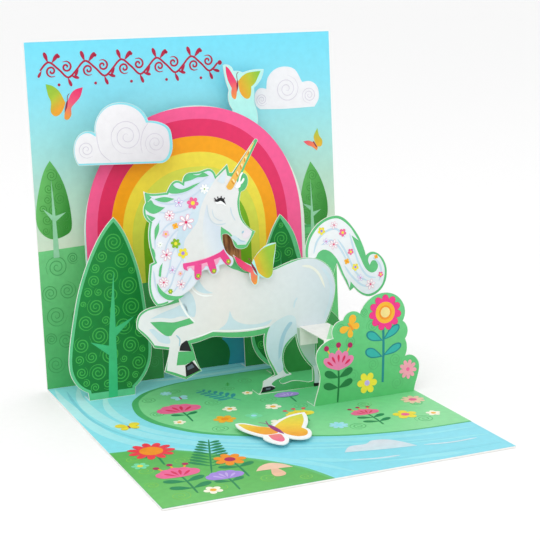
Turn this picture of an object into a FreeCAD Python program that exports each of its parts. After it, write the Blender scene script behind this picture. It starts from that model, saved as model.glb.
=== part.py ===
import FreeCAD, Part
import os
import Sketcher

# Pop up card, opened flat on its lower panel. Origin: middle of the lower panel's underside.
# X runs along the fold, Y from the front edge to the fold, Z up.

os.makedirs("parts", exist_ok=True)
doc = FreeCAD.newDocument("pop_up_card")
sheet = doc.addObject("Spreadsheet::Sheet", "sizes")

# Sizes in millimetres, angles in degrees. A "gap" is the distance along the lower panel from the
# fold to a layer's back face. "left" and "bottom" place an outline: left from the card's middle,
# bottom up the layer from the lower panel.
SIZES = [
    # folded card
    ("card_width", 127.0),
    ("card_depth", 133.35),
    ("card_rise", 133.35),
    ("card_thick", 0.6),
    ("lean", 4.0),
    # sheets that the layers, straps and foam pads are cut from
    ("panel_thick", 0.4),
    ("strap_thick", 0.3),
    ("foam_thick", 2.0),
    ("floor_foam_thick", 1.5),
    ("foot_length", 6.0),
    ("strap_flap", 6.0),
    # rainbow
    ("rainbow_gap", 5.6),
    ("rainbow_width", 93.0),
    ("rainbow_rise", 106.9),
    ("rainbow_shoulder", 58.0),
    ("opening_width", 35.0),
    ("opening_rise", 71.0),
    ("opening_shoulder", 50.0),
    ("rainbow_foot", 4.0),
    ("rainbow_strap_width", 24.0),
    ("rainbow_strap_rise", 90.0),
    # butterfly on its strip
    ("strip_left", 14.0),
    ("strip_bottom", 92.5),
    ("strip_width", 17.5),
    ("strip_rise", 29.9),
    # cloud
    ("cloud_gap", 11.6),
    ("cloud_left", -50.2),
    ("cloud_bottom", 86.2),
    ("cloud_width", 39.2),
    ("cloud_rise", 24.1),
    ("cloud_strap_left", -42.0),
    ("cloud_strap_width", 8.0),
    ("cloud_strap_rise", 94.0),
    # trees
    ("tree_gap", 21.1),
    ("left_tree_left", -59.9),
    ("left_tree_width", 32.8),
    ("left_tree_rise", 68.9),
    ("left_strap_left", -44.5),
    ("left_strap_width", 9.0),
    ("left_strap_rise", 30.0),
    ("right_tree_left", 14.1),
    ("right_tree_width", 42.5),
    ("right_tree_rise", 64.2),
    ("right_strap_left", 35.5),
    ("right_strap_width", 9.0),
    ("right_strap_rise", 14.0),
    # unicorn body, tail and head
    ("unicorn_gap", 42.6),
    ("body_left", -39.5),
    ("body_width", 81.0),
    ("body_rise", 80.0),
    ("tail_left", 29.3),
    ("tail_bottom", 32.7),
    ("tail_width", 35.3),
    ("tail_rise", 33.2),
    ("head_left", -35.4),
    ("head_bottom", 39.2),
    ("head_width", 45.9),
    ("head_rise", 58.3),
    ("upper_pad_left", -23.0),
    ("upper_pad_bottom", 67.0),
    ("upper_pad_width", 8.0),
    ("upper_pad_rise", 6.0),
    ("lower_pad_left", -25.5),
    ("lower_pad_bottom", 48.0),
    ("lower_pad_width", 9.0),
    ("lower_pad_rise", 6.0),
    ("unicorn_strap_left", -11.0),
    ("unicorn_strap_width", 14.0),
    ("unicorn_strap_rise", 64.0),
    ("unicorn_strap_drop", 14.0),
    # butterfly over the unicorn's back
    ("wing_left", -1.5),
    ("wing_bottom", 42.7),
    ("wing_width", 17.9),
    ("wing_rise", 15.5),
    ("wing_pad_left", 9.1),
    ("wing_pad_bottom", 46.0),
    ("wing_pad_width", 4.0),
    ("wing_pad_rise", 2.0),
    # flower bush
    ("bush_gap", 64.6),
    ("bush_left", 20.2),
    ("bush_width", 45.0),
    ("bush_rise", 39.8),
    ("bush_strap_left", 25.6),
    ("bush_strap_width", 12.0),
    ("bush_strap_rise", 24.2),
    ("bush_strap_drop", 7.4),
    ("bush_flap_width", 7.4),
    # butterfly on the lower panel, its front tip measured from the fold
    ("floor_wing_left", -16.3),
    ("floor_wing_front", 101.9),
    ("floor_wing_width", 28.4),
    ("floor_wing_length", 28.0),
    ("floor_pad_left", -7.0),
    ("floor_pad_front", 91.0),
    ("floor_pad_width", 8.0),
    ("floor_pad_length", 6.0),
]
for row, (name, value) in enumerate(SIZES, start=1):
    sheet.set(f"A{row}", name)
    sheet.set(f"B{row}", str(value))
    sheet.setAlias(f"B{row}", name)
doc.recompute()


def size(name):
    return float(sheet.get(name))


# A piece is a body with its own place: a point given as three expressions, and a lean or none.

def new_piece(label, x, y, z, leans):
    body = doc.addObject("PartDesign::Body", label)
    body.Label = label
    if leans:
        body.Placement.Rotation = FreeCAD.Rotation(FreeCAD.Vector(-1, 0, 0), size("lean"))
        body.setExpression("Placement.Rotation.Angle", "sizes.lean")
    body.setExpression("Placement.Base.x", x)
    body.setExpression("Placement.Base.y", y)
    body.setExpression("Placement.Base.z", z)
    return body


def new_layer(label, gap):
    """piece that stands on the lower panel at a gap from the fold and leans as the back panel does"""
    return new_piece(label, "0", f"sizes.card_depth / 2 - sizes.{gap}", "sizes.card_thick", True)


def new_sketch(body, name, role):
    sketch = body.newObject("Sketcher::SketchObject", name)
    plane = next(item for item in body.Origin.OriginFeatures if item.Role == role)
    sketch.AttachmentSupport = [(plane, "")]
    sketch.MapMode = "FlatFace"
    return sketch


def new_pad(body, sketch, length, shift):
    """pad of a sketch, moved off its plane by a shift, both given as expressions"""
    sketch.setExpression("AttachmentOffset.Base.z", shift)
    pad = body.newObject("PartDesign::Pad", f"{sketch.Name}_pad")
    pad.Profile = sketch
    pad.setExpression("Length", length)
    sketch.Visibility = False
    return pad


# Straight sided profiles: every corner is bound by two expressions. An edge named in rounds is an
# arc with the radius given there.

def draw_profile(sketch, corners, rounds=()):
    at = [FreeCAD.Vector(float(sketch.evalExpression(u)), float(sketch.evalExpression(v)), 0)
          for u, v in corners]
    count = len(corners)
    for index in range(count):
        start = at[index]
        end = at[(index + 1) % count]
        if index in rounds:
            radius = float(sketch.evalExpression(rounds[index]))
            chord = end - start
            sink = radius - (radius ** 2 - (chord.Length / 2) ** 2) ** 0.5
            out = FreeCAD.Vector(chord.y, -chord.x, 0).normalize()
            edge = Part.Arc(start, start + chord / 2 + out * sink, end)
        else:
            edge = Part.LineSegment(start, end)
        sketch.addGeometry(edge, False)
    for index in range(count):
        after = (index + 1) % count
        sketch.addConstraint(Sketcher.Constraint("Coincident", index, 2, after, 1))
        for kind, expression in zip(("DistanceX", "DistanceY"), corners[index]):
            value = float(sketch.evalExpression(expression))
            number = sketch.addConstraint(Sketcher.Constraint(kind, -1, 1, index, 1, value))
            sketch.setExpression(f"Constraints[{number}]", expression)
    for index in rounds:
        radius = float(sketch.evalExpression(rounds[index]))
        number = sketch.addConstraint(Sketcher.Constraint("Radius", index, radius))
        sketch.setExpression(f"Constraints[{number}]", rounds[index])


# Die-cut outlines: stretches from one corner to the next, in shares of the outline's own width and
# rise. One point is a straight cut, two points a round through the first, more a free curve.

def draw_outline(sketch, stretches, left, bottom, width, rise):
    def place(share):
        return FreeCAD.Vector(size(left) + share[0] * size(width), bottom + share[1] * size(rise), 0)

    start = place(stretches[-1][-1])
    for stretch in stretches:
        points = [start] + [place(share) for share in stretch]
        if len(points) == 2:
            edge = Part.LineSegment(points[0], points[1])
        elif len(points) == 3:
            edge = Part.Arc(*points)
        else:
            edge = Part.BSplineCurve()
            edge.interpolate(points)
        sketch.addGeometry(edge, False)
        start = points[-1]


def cut_panel(body, name, stretches, left, bottom, width, rise, shift="0"):
    """sheet of one thickness cut to an outline on the body's upright plane"""
    sketch = new_sketch(body, name, "XZ_Plane")
    draw_outline(sketch, stretches, left, bottom, width, rise)
    new_pad(body, sketch, "sizes.panel_thick", shift)
    return sketch


def fold_foot(body, name, left, right, length):
    """flap at a layer's lower edge, folded back and glued down, from one side to the other"""
    sketch = new_sketch(body, name, "YZ_Plane")
    draw_profile(sketch, [
        ("0", "0"),
        (f"{length} * cos(sizes.lean)", f"{length} * sin(sizes.lean)"),
        (f"{length} * cos(sizes.lean) - sizes.panel_thick * sin(sizes.lean)",
         f"{length} * sin(sizes.lean) + sizes.panel_thick * cos(sizes.lean)"),
        ("0", "sizes.panel_thick / cos(sizes.lean)"),
    ])
    new_pad(body, sketch, f"({right}) - ({left})", left)


# Straps: a level run from one leaning face to the next one in front, with a flap glued to each.
# Their own frame starts on the fold line.

def face_point(gap, rise, lift="0"):
    """point at a rise above the lower panel on the face at this gap, lifted off it to the front"""
    return (f"({rise}) * tan(sizes.lean) - ({gap}) - ({lift}) * cos(sizes.lean)",
            f"({rise}) + ({lift}) * sin(sizes.lean)")


def strap_part(body, name, corners, width, shift="0"):
    sketch = new_sketch(body, name, "YZ_Plane")
    draw_profile(sketch, corners)
    new_pad(body, sketch, width, shift)


def front_face(gap):
    """gap of the front face of the layer whose back face lies at this gap"""
    return f"(sizes.{gap} + sizes.panel_thick / cos(sizes.lean))"


def new_strap(label, left, width, rise, back, front, back_flap, front_flap, back_width=None):
    """strap with its left side, width and level; flaps are lengths, upwards where positive"""
    body = new_piece(label, left, "sizes.card_depth / 2", "sizes.card_thick", False)
    top = f"({rise}) + sizes.strap_thick"
    strap_part(body, f"{label}_run", [
        face_point(back, rise),
        face_point(front, rise),
        face_point(front, top),
        face_point(back, top),
    ], width)
    lift = "sizes.strap_thick"
    if back_flap.startswith("-"):
        low, high = f"({top}) {back_flap}", top
    else:
        low, high = rise, f"({rise}) + {back_flap}"
    strap_part(body, f"{label}_back_flap", [
        face_point(back, low),
        face_point(back, low, lift),
        face_point(back, high, lift),
        face_point(back, high),
    ], back_width or width)
    low = f"({top}) {front_flap}"
    strap_part(body, f"{label}_front_flap", [
        face_point(front, low, f"-{lift}"),
        face_point(front, low),
        face_point(front, top),
        face_point(front, top, f"-{lift}"),
    ], width)
    return body


def cut_pad(label, gap, left, bottom, width, rise):
    """foam block on the front face of the layer at this gap"""
    body = new_layer(label, gap)
    sketch = new_sketch(body, f"{label}_outline", "XZ_Plane")
    draw_profile(sketch, [
        (left, bottom),
        (f"{left} + {width}", bottom),
        (f"{left} + {width}", f"{bottom} + {rise}"),
        (left, f"{bottom} + {rise}"),
    ])
    new_pad(body, sketch, "sizes.foam_thick", "sizes.panel_thick")
    return body


# Folded card: one sheet, the lower panel flat and the back panel a little past upright.

def make_backdrop_card():
    body = new_piece("backdrop_card", "-sizes.card_width / 2", "sizes.card_depth / 2",
                     "sizes.card_thick", False)
    sketch = new_sketch(body, "card_profile", "YZ_Plane")
    draw_profile(sketch, [
        ("-sizes.card_depth", "-sizes.card_thick"),
        ("0", "-sizes.card_thick"),
        ("sizes.card_thick * cos(sizes.lean)", "-sizes.card_thick * sin(sizes.lean)"),
        ("sizes.card_thick * cos(sizes.lean) + sizes.card_rise * sin(sizes.lean)",
         "sizes.card_rise * cos(sizes.lean) - sizes.card_thick * sin(sizes.lean)"),
        ("sizes.card_rise * sin(sizes.lean)", "sizes.card_rise * cos(sizes.lean)"),
        ("0", "0"),
        ("-sizes.card_depth", "0"),
    ], rounds={1: "sizes.card_thick"})
    new_pad(body, sketch, "sizes.card_width", "0")
    return body


# Rainbow: an arch with straight legs below each shoulder and a half ellipse above it.

def draw_arch(sketch, width, rise, shoulder):
    half = size(width) / 2
    spring = FreeCAD.Vector(0, size(shoulder), 0)
    top = FreeCAD.Vector(0, size(rise), 0)
    end = FreeCAD.Vector(half, size(shoulder), 0)
    tall = top.distanceToPoint(spring) > half
    ellipse = Part.Ellipse(top, end, spring) if tall else Part.Ellipse(end, top, spring)
    ends = [ellipse.parameter(spring + FreeCAD.Vector(side * half, 0, 0)) for side in (1, -1)]
    crown = Part.ArcOfEllipse(ellipse, *ends)
    if crown.value((crown.FirstParameter + crown.LastParameter) / 2).y < spring.y:
        crown = Part.ArcOfEllipse(ellipse, *reversed(ends))
    sketch.addGeometry(crown, False)
    for side in (1, -1):
        foot = FreeCAD.Vector(side * half, 0, 0)
        sketch.addGeometry(Part.LineSegment(foot, foot + spring), False)


def make_rainbow_arch():
    body = new_layer("rainbow_arch", "rainbow_gap")
    sketch = new_sketch(body, "rainbow_outline", "XZ_Plane")
    draw_arch(sketch, "rainbow_width", "rainbow_rise", "rainbow_shoulder")
    draw_arch(sketch, "opening_width", "opening_rise", "opening_shoulder")
    for side in (1, -1):
        sketch.addGeometry(Part.LineSegment(
            FreeCAD.Vector(side * size("opening_width") / 2, 0, 0),
            FreeCAD.Vector(side * size("rainbow_width") / 2, 0, 0)), False)
    new_pad(body, sketch, "sizes.panel_thick", "0")
    outer = "sizes.rainbow_width / 2"
    inner = "sizes.opening_width / 2"
    fold_foot(body, "rainbow_left_foot", f"-{outer}", f"-{inner}", "sizes.rainbow_foot")
    fold_foot(body, "rainbow_right_foot", inner, outer, "sizes.rainbow_foot")
    return body


def make_rainbow_strap():
    return new_strap("rainbow_strap", "-sizes.rainbow_strap_width / 2", "sizes.rainbow_strap_width",
                     "sizes.rainbow_strap_rise", "0", "sizes.rainbow_gap",
                     "sizes.strap_flap", "-sizes.strap_flap")


# Butterfly on a strip, glued behind the top of the rainbow.

STRIP = [
    [(0.034, 0.833), (0.12, 0.652)],
    [(0.091, 0.552), (0.183, 0.398)],
    [(0.206, 0.184)],
    [(0.251, 0.064), (0.4, 0)],
    [(0.686, 0.033)],
    [(0.794, 0.234), (0.731, 0.452)],
    [(0.737, 0.672)],
    [(0.903, 0.766), (0.994, 0.906)],
    [(0.709, 0.906), (0.474, 0.873)],
    [(0.36, 0.9), (0.251, 0.9)],
    [(0.149, 0.98), (0.006, 0.987)],
]


def make_butterfly_strip():
    body = new_layer("butterfly_strip", "rainbow_gap")
    cut_panel(body, "strip_outline", STRIP, "strip_left", size("strip_bottom"), "strip_width",
              "strip_rise", "-sizes.panel_thick")
    return body


# Cloud with three lobes and a flat base, held in front of the rainbow's left shoulder.

CLOUD = [
    [(0.003, 0.34), (0.071, 0.544), (0.158, 0.585), (0.219, 0.544)],
    [(0.255, 0.797), (0.352, 0.954), (0.505, 1), (0.653, 0.921), (0.763, 0.689)],
    [(0.888, 0.651), (0.977, 0.548), (1, 0.39), (0.99, 0.166), (0.941, 0.046), (0.86, 0.004)],
    [(0.041, 0.058)],
]


def make_cloud():
    body = new_layer("cloud", "cloud_gap")
    cut_panel(body, "cloud_outline", CLOUD, "cloud_left", size("cloud_bottom"), "cloud_width",
              "cloud_rise")
    return body


def make_cloud_strap():
    return new_strap("cloud_strap", "sizes.cloud_strap_left", "sizes.cloud_strap_width",
                     "sizes.cloud_strap_rise", "0", "sizes.cloud_gap",
                     "-sizes.strap_flap", "-sizes.strap_flap")


# Trees: leaf shaped crowns down to a short straight foot. A low hill joins the right tree. Each is
# tied to the rainbow's leg behind it.

LEFT_TREE = [
    [(0.201, 0.046)],
    [(0.079, 0.091), (0.009, 0.16), (0.006, 0.271), (0.07, 0.434), (0.162, 0.611), (0.268, 0.743),
     (0.405, 0.871), (0.515, 0.946), (0.628, 1)],
    [(0.735, 0.925), (0.823, 0.821), (0.912, 0.662), (0.963, 0.45), (0.997, 0.276), (0.966, 0.167),
     (0.881, 0.094), (0.774, 0.044)],
    [(0.765, 0)],
    [(0.213, 0)],
]
RIGHT_TREE = [
    [(0.219, 0.047)],
    [(0.096, 0.106), (0.019, 0.195), (0.007, 0.312), (0.049, 0.498), (0.115, 0.67), (0.188, 0.802),
     (0.266, 0.919), (0.348, 1)],
    [(0.431, 0.938), (0.496, 0.855), (0.544, 0.731), (0.605, 0.561), (0.642, 0.396)],
    [(0.755, 0.388), (0.854, 0.349), (0.92, 0.296), (0.976, 0.179), (1, 0)],
    [(0.209, 0)],
]


def make_tree(label, outline, side):
    """tree layer; its foot runs between the outline's last two corners, which lie on the floor"""
    body = new_layer(label, "tree_gap")
    cut_panel(body, f"{label}_outline", outline, f"{side}_tree_left", 0, f"{side}_tree_width",
              f"{side}_tree_rise")
    ends = sorted(outline[index][-1][0] for index in (-2, -1))
    left, right = (f"sizes.{side}_tree_left + {share} * sizes.{side}_tree_width" for share in ends)
    fold_foot(body, f"{label}_foot", left, right, "sizes.foot_length")
    return body


def make_left_tree_strap():
    return new_strap("left_tree_strap", "sizes.left_strap_left", "sizes.left_strap_width",
                     "sizes.left_strap_rise", front_face("rainbow_gap"), "sizes.tree_gap",
                     "sizes.strap_flap", "-sizes.strap_flap")


def make_right_tree_strap():
    return new_strap("right_tree_strap", "sizes.right_strap_left", "sizes.right_strap_width",
                     "sizes.right_strap_rise", front_face("rainbow_gap"), "sizes.tree_gap",
                     "sizes.strap_flap", "-sizes.strap_flap")


# Unicorn body with raised foreleg, belly and hind legs on a strip of ground. The neck behind the
# head layer carries the foam pads. The second outline is the gap between the hind legs.

BODY = [
    [(0.094, 0.562), (0.111, 0.7), (0.136, 0.85)],
    [(0.191, 0.95), (0.278, 1), (0.333, 0.95)],
    [(0.372, 0.85), (0.399, 0.75), (0.423, 0.677)],
    [(0.488, 0.672)],
    [(0.507, 0.633), (0.537, 0.603)],
    [(0.586, 0.599), (0.679, 0.6), (0.753, 0.622), (0.833, 0.636), (0.907, 0.625), (0.975, 0.575),
     (1, 0.494), (0.988, 0.412), (0.944, 0.306), (0.907, 0.256), (0.89, 0.21)],
    [(0.889, 0.181), (0.899, 0.087), (0.905, 0.044)],
    [(0.901, 0)],
    [(0.58, 0)],
    [(0.602, 0.035), (0.605, 0.062)],
    [(0.667, 0.087)],
    [(0.652, 0.125), (0.633, 0.169), (0.621, 0.212), (0.622, 0.292)],
    [(0.549, 0.287), (0.488, 0.291), (0.426, 0.3), (0.364, 0.31), (0.333, 0.304), (0.256, 0.291)],
    [(0.268, 0.25), (0.278, 0.208), (0.302, 0.156)],
    [(0.259, 0.141), (0.222, 0.125)],
    [(0.167, 0.15), (0.12, 0.173)],
    [(0.137, 0.225), (0.151, 0.275)],
    [(0.077, 0.292)],
    [(0.058, 0.325), (0.033, 0.355), (0.001, 0.39)],
    [(0, 0.415), (0.015, 0.456), (0.056, 0.479), (0.111, 0.487)],
]
LEG_GAP = [
    [(0.715, 0.17), (0.721, 0.118), (0.738, 0.09)],
    [(0.754, 0.08)],
    [(0.717, 0.07), (0.688, 0.055)],
    [(0.7, 0.04), (0.747, 0.045), (0.796, 0.04), (0.838, 0.028)],
    [(0.863, 0.03)],
    [(0.864, 0.065), (0.862, 0.098)],
    [(0.809, 0.169), (0.789, 0.225), (0.783, 0.265)],
    [(0.756, 0.242), (0.727, 0.21)],
]


def make_unicorn_body():
    body = new_layer("unicorn_body", "unicorn_gap")
    outline = cut_panel(body, "body_outline", BODY, "body_left", 0, "body_width", "body_rise")
    draw_outline(outline, LEG_GAP, "body_left", 0, "body_width", "body_rise")
    left, right = (f"sizes.body_left + {share} * sizes.body_width" for share in (0.58, 0.901))
    fold_foot(body, "body_foot", left, right, "sizes.foot_length")
    return body


def make_unicorn_strap():
    return new_strap("unicorn_strap", "sizes.unicorn_strap_left", "sizes.unicorn_strap_width",
                     "sizes.unicorn_strap_rise", "0", "sizes.unicorn_gap",
                     "sizes.strap_flap", "-sizes.unicorn_strap_drop")


# Tail, glued behind the rump.

TAIL = [
    [(0.006, 0.642), (0.048, 0.777), (0.161, 0.919), (0.289, 0.988), (0.431, 0.991),
     (0.572, 0.87), (0.683, 0.684), (0.742, 0.5)],
    [(0.827, 0.533), (0.943, 0.452), (0.997, 0.295), (0.958, 0.123), (0.87, 0.033), (0.756, 0.003),
     (0.657, 0.048), (0.581, 0.13)],
    [(0.53, 0.093)],
    [(0.482, 0.202), (0.445, 0.28), (0.382, 0.44)],
    [(0.343, 0.34), (0.317, 0.22)],
    [(0.133, 0.22)],
    [(0.054, 0.386), (0.006, 0.551)],
]


def make_unicorn_tail():
    body = new_layer("unicorn_tail", "unicorn_gap")
    cut_panel(body, "tail_outline", TAIL, "tail_left", size("tail_bottom"), "tail_width",
              "tail_rise", "-sizes.panel_thick")
    return body


# Head, neck and mane, on two foam pads in front of the body.

HEAD = [
    [(0.046, 0.714), (0.148, 0.707), (0.203, 0.708)],
    [(0.229, 0.744), (0.257, 0.768), (0.338, 0.763)],
    [(0.381, 0.815), (0.486, 0.822), (0.564, 0.835), (0.627, 0.787)],
    [(0.728, 0.856)],
    [(0.743, 0.799)],
    [(0.769, 0.799)],
    [(0.972, 0.995)],
    [(0.991, 1), (1, 0.986)],
    [(0.852, 0.792)],
    [(0.882, 0.784), (0.893, 0.71), (0.837, 0.674)],
    [(0.817, 0.593), (0.843, 0.492), (0.946, 0.412)],
    [(0.913, 0.37), (0.867, 0.316)],
    [(0.843, 0.309), (0.769, 0.319), (0.741, 0.37), (0.712, 0.405), (0.656, 0.41)],
    [(0.662, 0.343), (0.693, 0.288), (0.728, 0.266)],
    [(0.743, 0.237), (0.715, 0.202)],
    [(0.667, 0.22), (0.614, 0.213)],
    [(0.56, 0.16), (0.521, 0.196)],
    [(0.464, 0.189), (0.427, 0.137)],
    [(0.355, 0.082), (0.257, 0.041), (0.148, 0.007), (0.072, 0.002)],
    [(0.02, 0.081), (0.015, 0.168), (0.033, 0.269)],
    [(0.07, 0.281)],
    [(0.037, 0.389), (0.035, 0.467), (0.05, 0.527)],
    [(0.002, 0.59), (0.024, 0.655)],
    [(0.013, 0.726)],
]


def make_unicorn_head():
    body = new_layer("unicorn_head", "unicorn_gap")
    cut_panel(body, "head_outline", HEAD, "head_left", size("head_bottom"), "head_width",
              "head_rise", "sizes.panel_thick + sizes.foam_thick")
    return body


# Butterfly on a foam pad over the unicorn's back.

WINGS = [
    [(0.19, 0.652), (0.402, 0.516)],
    [(0.581, 0.806), (0.721, 0.929), (0.989, 0.994)],
    [(0.95, 0.69), (0.911, 0.465), (0.888, 0.277)],
    [(0.816, 0.148), (0.704, 0.155), (0.559, 0.277)],
    [(0.547, 0.084), (0.486, 0.006), (0.391, 0.123), (0.369, 0.329)],
    [(0.201, 0.471), (0.006, 0.813)],
]


def make_back_butterfly():
    body = new_layer("back_butterfly", "unicorn_gap")
    cut_panel(body, "back_butterfly_outline", WINGS, "wing_left", size("wing_bottom"), "wing_width",
              "wing_rise", "sizes.panel_thick + sizes.foam_thick")
    return body


# Bush of round lobes, tied to the unicorn by a strap with a narrower flap on the hind leg.

BUSH = [
    [(0.031, 0.106), (0.064, 0.236), (0.062, 0.317), (0.04, 0.407), (0.044, 0.503), (0.102, 0.578),
     (0.2, 0.621)],
    [(0.202, 0.726), (0.293, 0.781)],
    [(0.364, 0.854), (0.456, 0.824)],
    [(0.533, 0.942), (0.671, 0.997), (0.809, 0.95), (0.876, 0.834), (0.856, 0.704)],
    [(0.9, 0.618), (0.873, 0.528)],
    [(0.889, 0.442), (0.869, 0.362)],
    [(0.942, 0.357), (0.998, 0.279), (0.989, 0.166), (0.944, 0)],
    [(0.004, 0)],
]


def make_flower_bush():
    body = new_layer("flower_bush", "bush_gap")
    cut_panel(body, "bush_outline", BUSH, "bush_left", 0, "bush_width", "bush_rise")
    left, right = (f"sizes.bush_left + {share} * sizes.bush_width" for share in (0.004, 0.944))
    fold_foot(body, "bush_foot", left, right, "sizes.foot_length")
    return body


def make_bush_strap():
    return new_strap("bush_strap", "sizes.bush_strap_left", "sizes.bush_strap_width",
                     "sizes.bush_strap_rise", front_face("unicorn_gap"), "sizes.bush_gap",
                     "-sizes.bush_strap_drop", "-sizes.strap_flap", "sizes.bush_flap_width")


# Butterfly lying on a foam pad on the lower panel.

FLOOR_WINGS = [
    [(0, 0.836), (0.039, 0.593), (0.151, 0.354)],
    [(0.165, 0.121), (0.271, 0.004), (0.373, 0.089), (0.405, 0.264)],
    [(0.458, 0.132), (0.588, 0.071), (0.722, 0.186), (0.754, 0.439)],
    [(0.901, 0.675), (0.996, 0.989)],
    [(0.722, 0.939), (0.532, 0.804), (0.377, 0.654)],
    [(0.246, 0.764), (0.074, 0.957), (0.025, 0.95)],
]


def make_front_butterfly():
    body = new_piece("front_butterfly", "0", "sizes.card_depth / 2",
                     "sizes.card_thick + sizes.floor_foam_thick", False)
    sketch = new_sketch(body, "front_butterfly_outline", "XY_Plane")
    draw_outline(sketch, FLOOR_WINGS, "floor_wing_left", -size("floor_wing_front"),
                 "floor_wing_width", "floor_wing_length")
    new_pad(body, sketch, "sizes.panel_thick", "0")
    return body


def make_front_butterfly_pad():
    body = new_piece("front_butterfly_pad", "sizes.floor_pad_left",
                     "sizes.card_depth / 2 - sizes.floor_pad_front", "sizes.card_thick", False)
    sketch = new_sketch(body, "front_pad_outline", "XY_Plane")
    draw_profile(sketch, [
        ("0", "0"),
        ("sizes.floor_pad_width", "0"),
        ("sizes.floor_pad_width", "sizes.floor_pad_length"),
        ("0", "sizes.floor_pad_length"),
    ])
    new_pad(body, sketch, "sizes.floor_foam_thick", "0")
    return body


def make_foam_pad(label, name):
    left, bottom, width, rise = (f"sizes.{name}_{side}" for side in ("left", "bottom", "width", "rise"))
    return cut_pad(label, "unicorn_gap", left, bottom, width, rise)


pieces = [
    make_backdrop_card(),
    make_rainbow_arch(),
    make_rainbow_strap(),
    make_butterfly_strip(),
    make_cloud(),
    make_cloud_strap(),
    make_tree("left_tree", LEFT_TREE, "left"),
    make_left_tree_strap(),
    make_tree("right_tree", RIGHT_TREE, "right"),
    make_right_tree_strap(),
    make_unicorn_body(),
    make_unicorn_strap(),
    make_unicorn_tail(),
    make_foam_pad("head_pad_upper", "upper_pad"),
    make_foam_pad("head_pad_lower", "lower_pad"),
    make_unicorn_head(),
    make_foam_pad("back_butterfly_pad", "wing_pad"),
    make_back_butterfly(),
    make_flower_bush(),
    make_bush_strap(),
    make_front_butterfly_pad(),
    make_front_butterfly(),
]
doc.recompute()

# Every object is sound before any file is written.
for item in doc.Objects:
    if "Invalid" in item.State or "Error" in item.State:
        raise RuntimeError(f"{item.Name} failed: {item.State}")
for piece in pieces:
    if piece.Shape.isNull() or not piece.Shape.isValid() or len(piece.Shape.Solids) != 1:
        raise RuntimeError(f"{piece.Label} is not one sound solid")
for piece in pieces:
    piece.Shape.exportStep(f"parts/{piece.Label}.step")
    box = piece.Shape.BoundBox
    print(f"{piece.Label:22s} x {box.XMin:7.2f} {box.XMax:7.2f}  y {box.YMin:7.2f} {box.YMax:7.2f}"
          f"  z {box.ZMin:7.2f} {box.ZMax:7.2f}  volume {piece.Shape.Volume:8.1f}")
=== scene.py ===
import math

import bmesh
import bpy
from mathutils import Matrix, Vector


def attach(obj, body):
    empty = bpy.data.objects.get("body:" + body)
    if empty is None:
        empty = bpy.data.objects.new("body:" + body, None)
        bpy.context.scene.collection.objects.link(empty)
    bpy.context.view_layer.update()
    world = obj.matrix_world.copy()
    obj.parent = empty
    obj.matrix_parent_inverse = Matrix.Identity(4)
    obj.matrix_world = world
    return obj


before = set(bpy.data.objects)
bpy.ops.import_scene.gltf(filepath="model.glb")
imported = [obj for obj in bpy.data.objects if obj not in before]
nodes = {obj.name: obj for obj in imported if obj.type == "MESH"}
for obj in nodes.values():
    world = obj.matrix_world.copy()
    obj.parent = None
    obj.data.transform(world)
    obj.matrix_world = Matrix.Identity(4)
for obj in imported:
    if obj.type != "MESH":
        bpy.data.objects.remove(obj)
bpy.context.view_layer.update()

# Backdrop card: one sheet of board, folded once into a lower panel and a back panel that leans
# 4 degrees. Sky and meadow are printed on the back panel, stream and meadow on the lower one.
# The board's outside is bare. Sizes are in millimetres.


def paint(code):
    """A colour from its code, in linear light."""
    parts = [int(code[i:i + 2], 16) / 255 for i in (1, 3, 5)]
    parts = [p / 12.92 if p < 0.04045 else ((p + 0.055) / 1.055) ** 2.4 for p in parts]
    return (*parts, 1.0)


def add(tree, kind, **numbers):
    """A new node with its inputs set. An underscore stands for the space in an input's name."""
    node = tree.nodes.new("ShaderNode" + kind)
    for name, number in numbers.items():
        node.inputs[name.replace("_", " ")].default_value = number
    return node


def ramp(tree, source, *stops):
    """Turns a number into a colour, by stops that are each a share and a colour."""
    node = add(tree, "ValToRGB")
    elements = node.color_ramp.elements
    while len(elements) < len(stops):
        elements.new(0.5)
    for i, (share, code) in enumerate(stops):
        elements[i].position = share
        elements[i].color = paint(code)
    tree.links.new(source, node.inputs["Fac"])
    return node.outputs["Color"]


def new_finish(name, roughness, sheen, tooth):
    """A paper surface: fine tooth as bump, and a faint mottle that its colour is mixed with."""
    finish = bpy.data.materials.new(name)
    finish.use_nodes = True
    tree = finish.node_tree
    shader = tree.nodes["Principled BSDF"]
    shader.inputs["Roughness"].default_value = roughness
    shader.inputs["Specular IOR Level"].default_value = sheen
    where = add(tree, "TexCoord").outputs["Object"]
    fibre = add(tree, "TexNoise", Scale=2600, Detail=3)
    bump = add(tree, "Bump", Strength=tooth, Distance=0.00005)
    mottle = add(tree, "TexNoise", Scale=420, Detail=5)
    tree.links.new(where, fibre.inputs["Vector"])
    tree.links.new(where, mottle.inputs["Vector"])
    tree.links.new(fibre.outputs["Fac"], bump.inputs["Height"])
    tree.links.new(bump.outputs["Normal"], shader.inputs["Normal"])
    return finish, tree, shader.inputs["Base Color"], where, mottle.outputs["Fac"]


def board(name, code, shade):
    """Bare card: pale, with a cloudy fibre pattern between two close colours."""
    finish, tree, base, where, mottle = new_finish(name, 0.72, 0.25, 0.35)
    tree.links.new(ramp(tree, mottle, (0.3, shade), (0.7, code)), base)
    return finish


def dress(finish, *names):
    """Gives CAD nodes their finish, in every material slot they have."""
    for name in names:
        for slot in nodes[name].material_slots:
            slot.material = finish


white_board = board("white_board", "#f3f2ee", "#ebeae6")
dress(white_board, "backdrop_card")


LEAN = math.radians(4)
FOLD = 66.675
BOARD = 0.6


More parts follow.
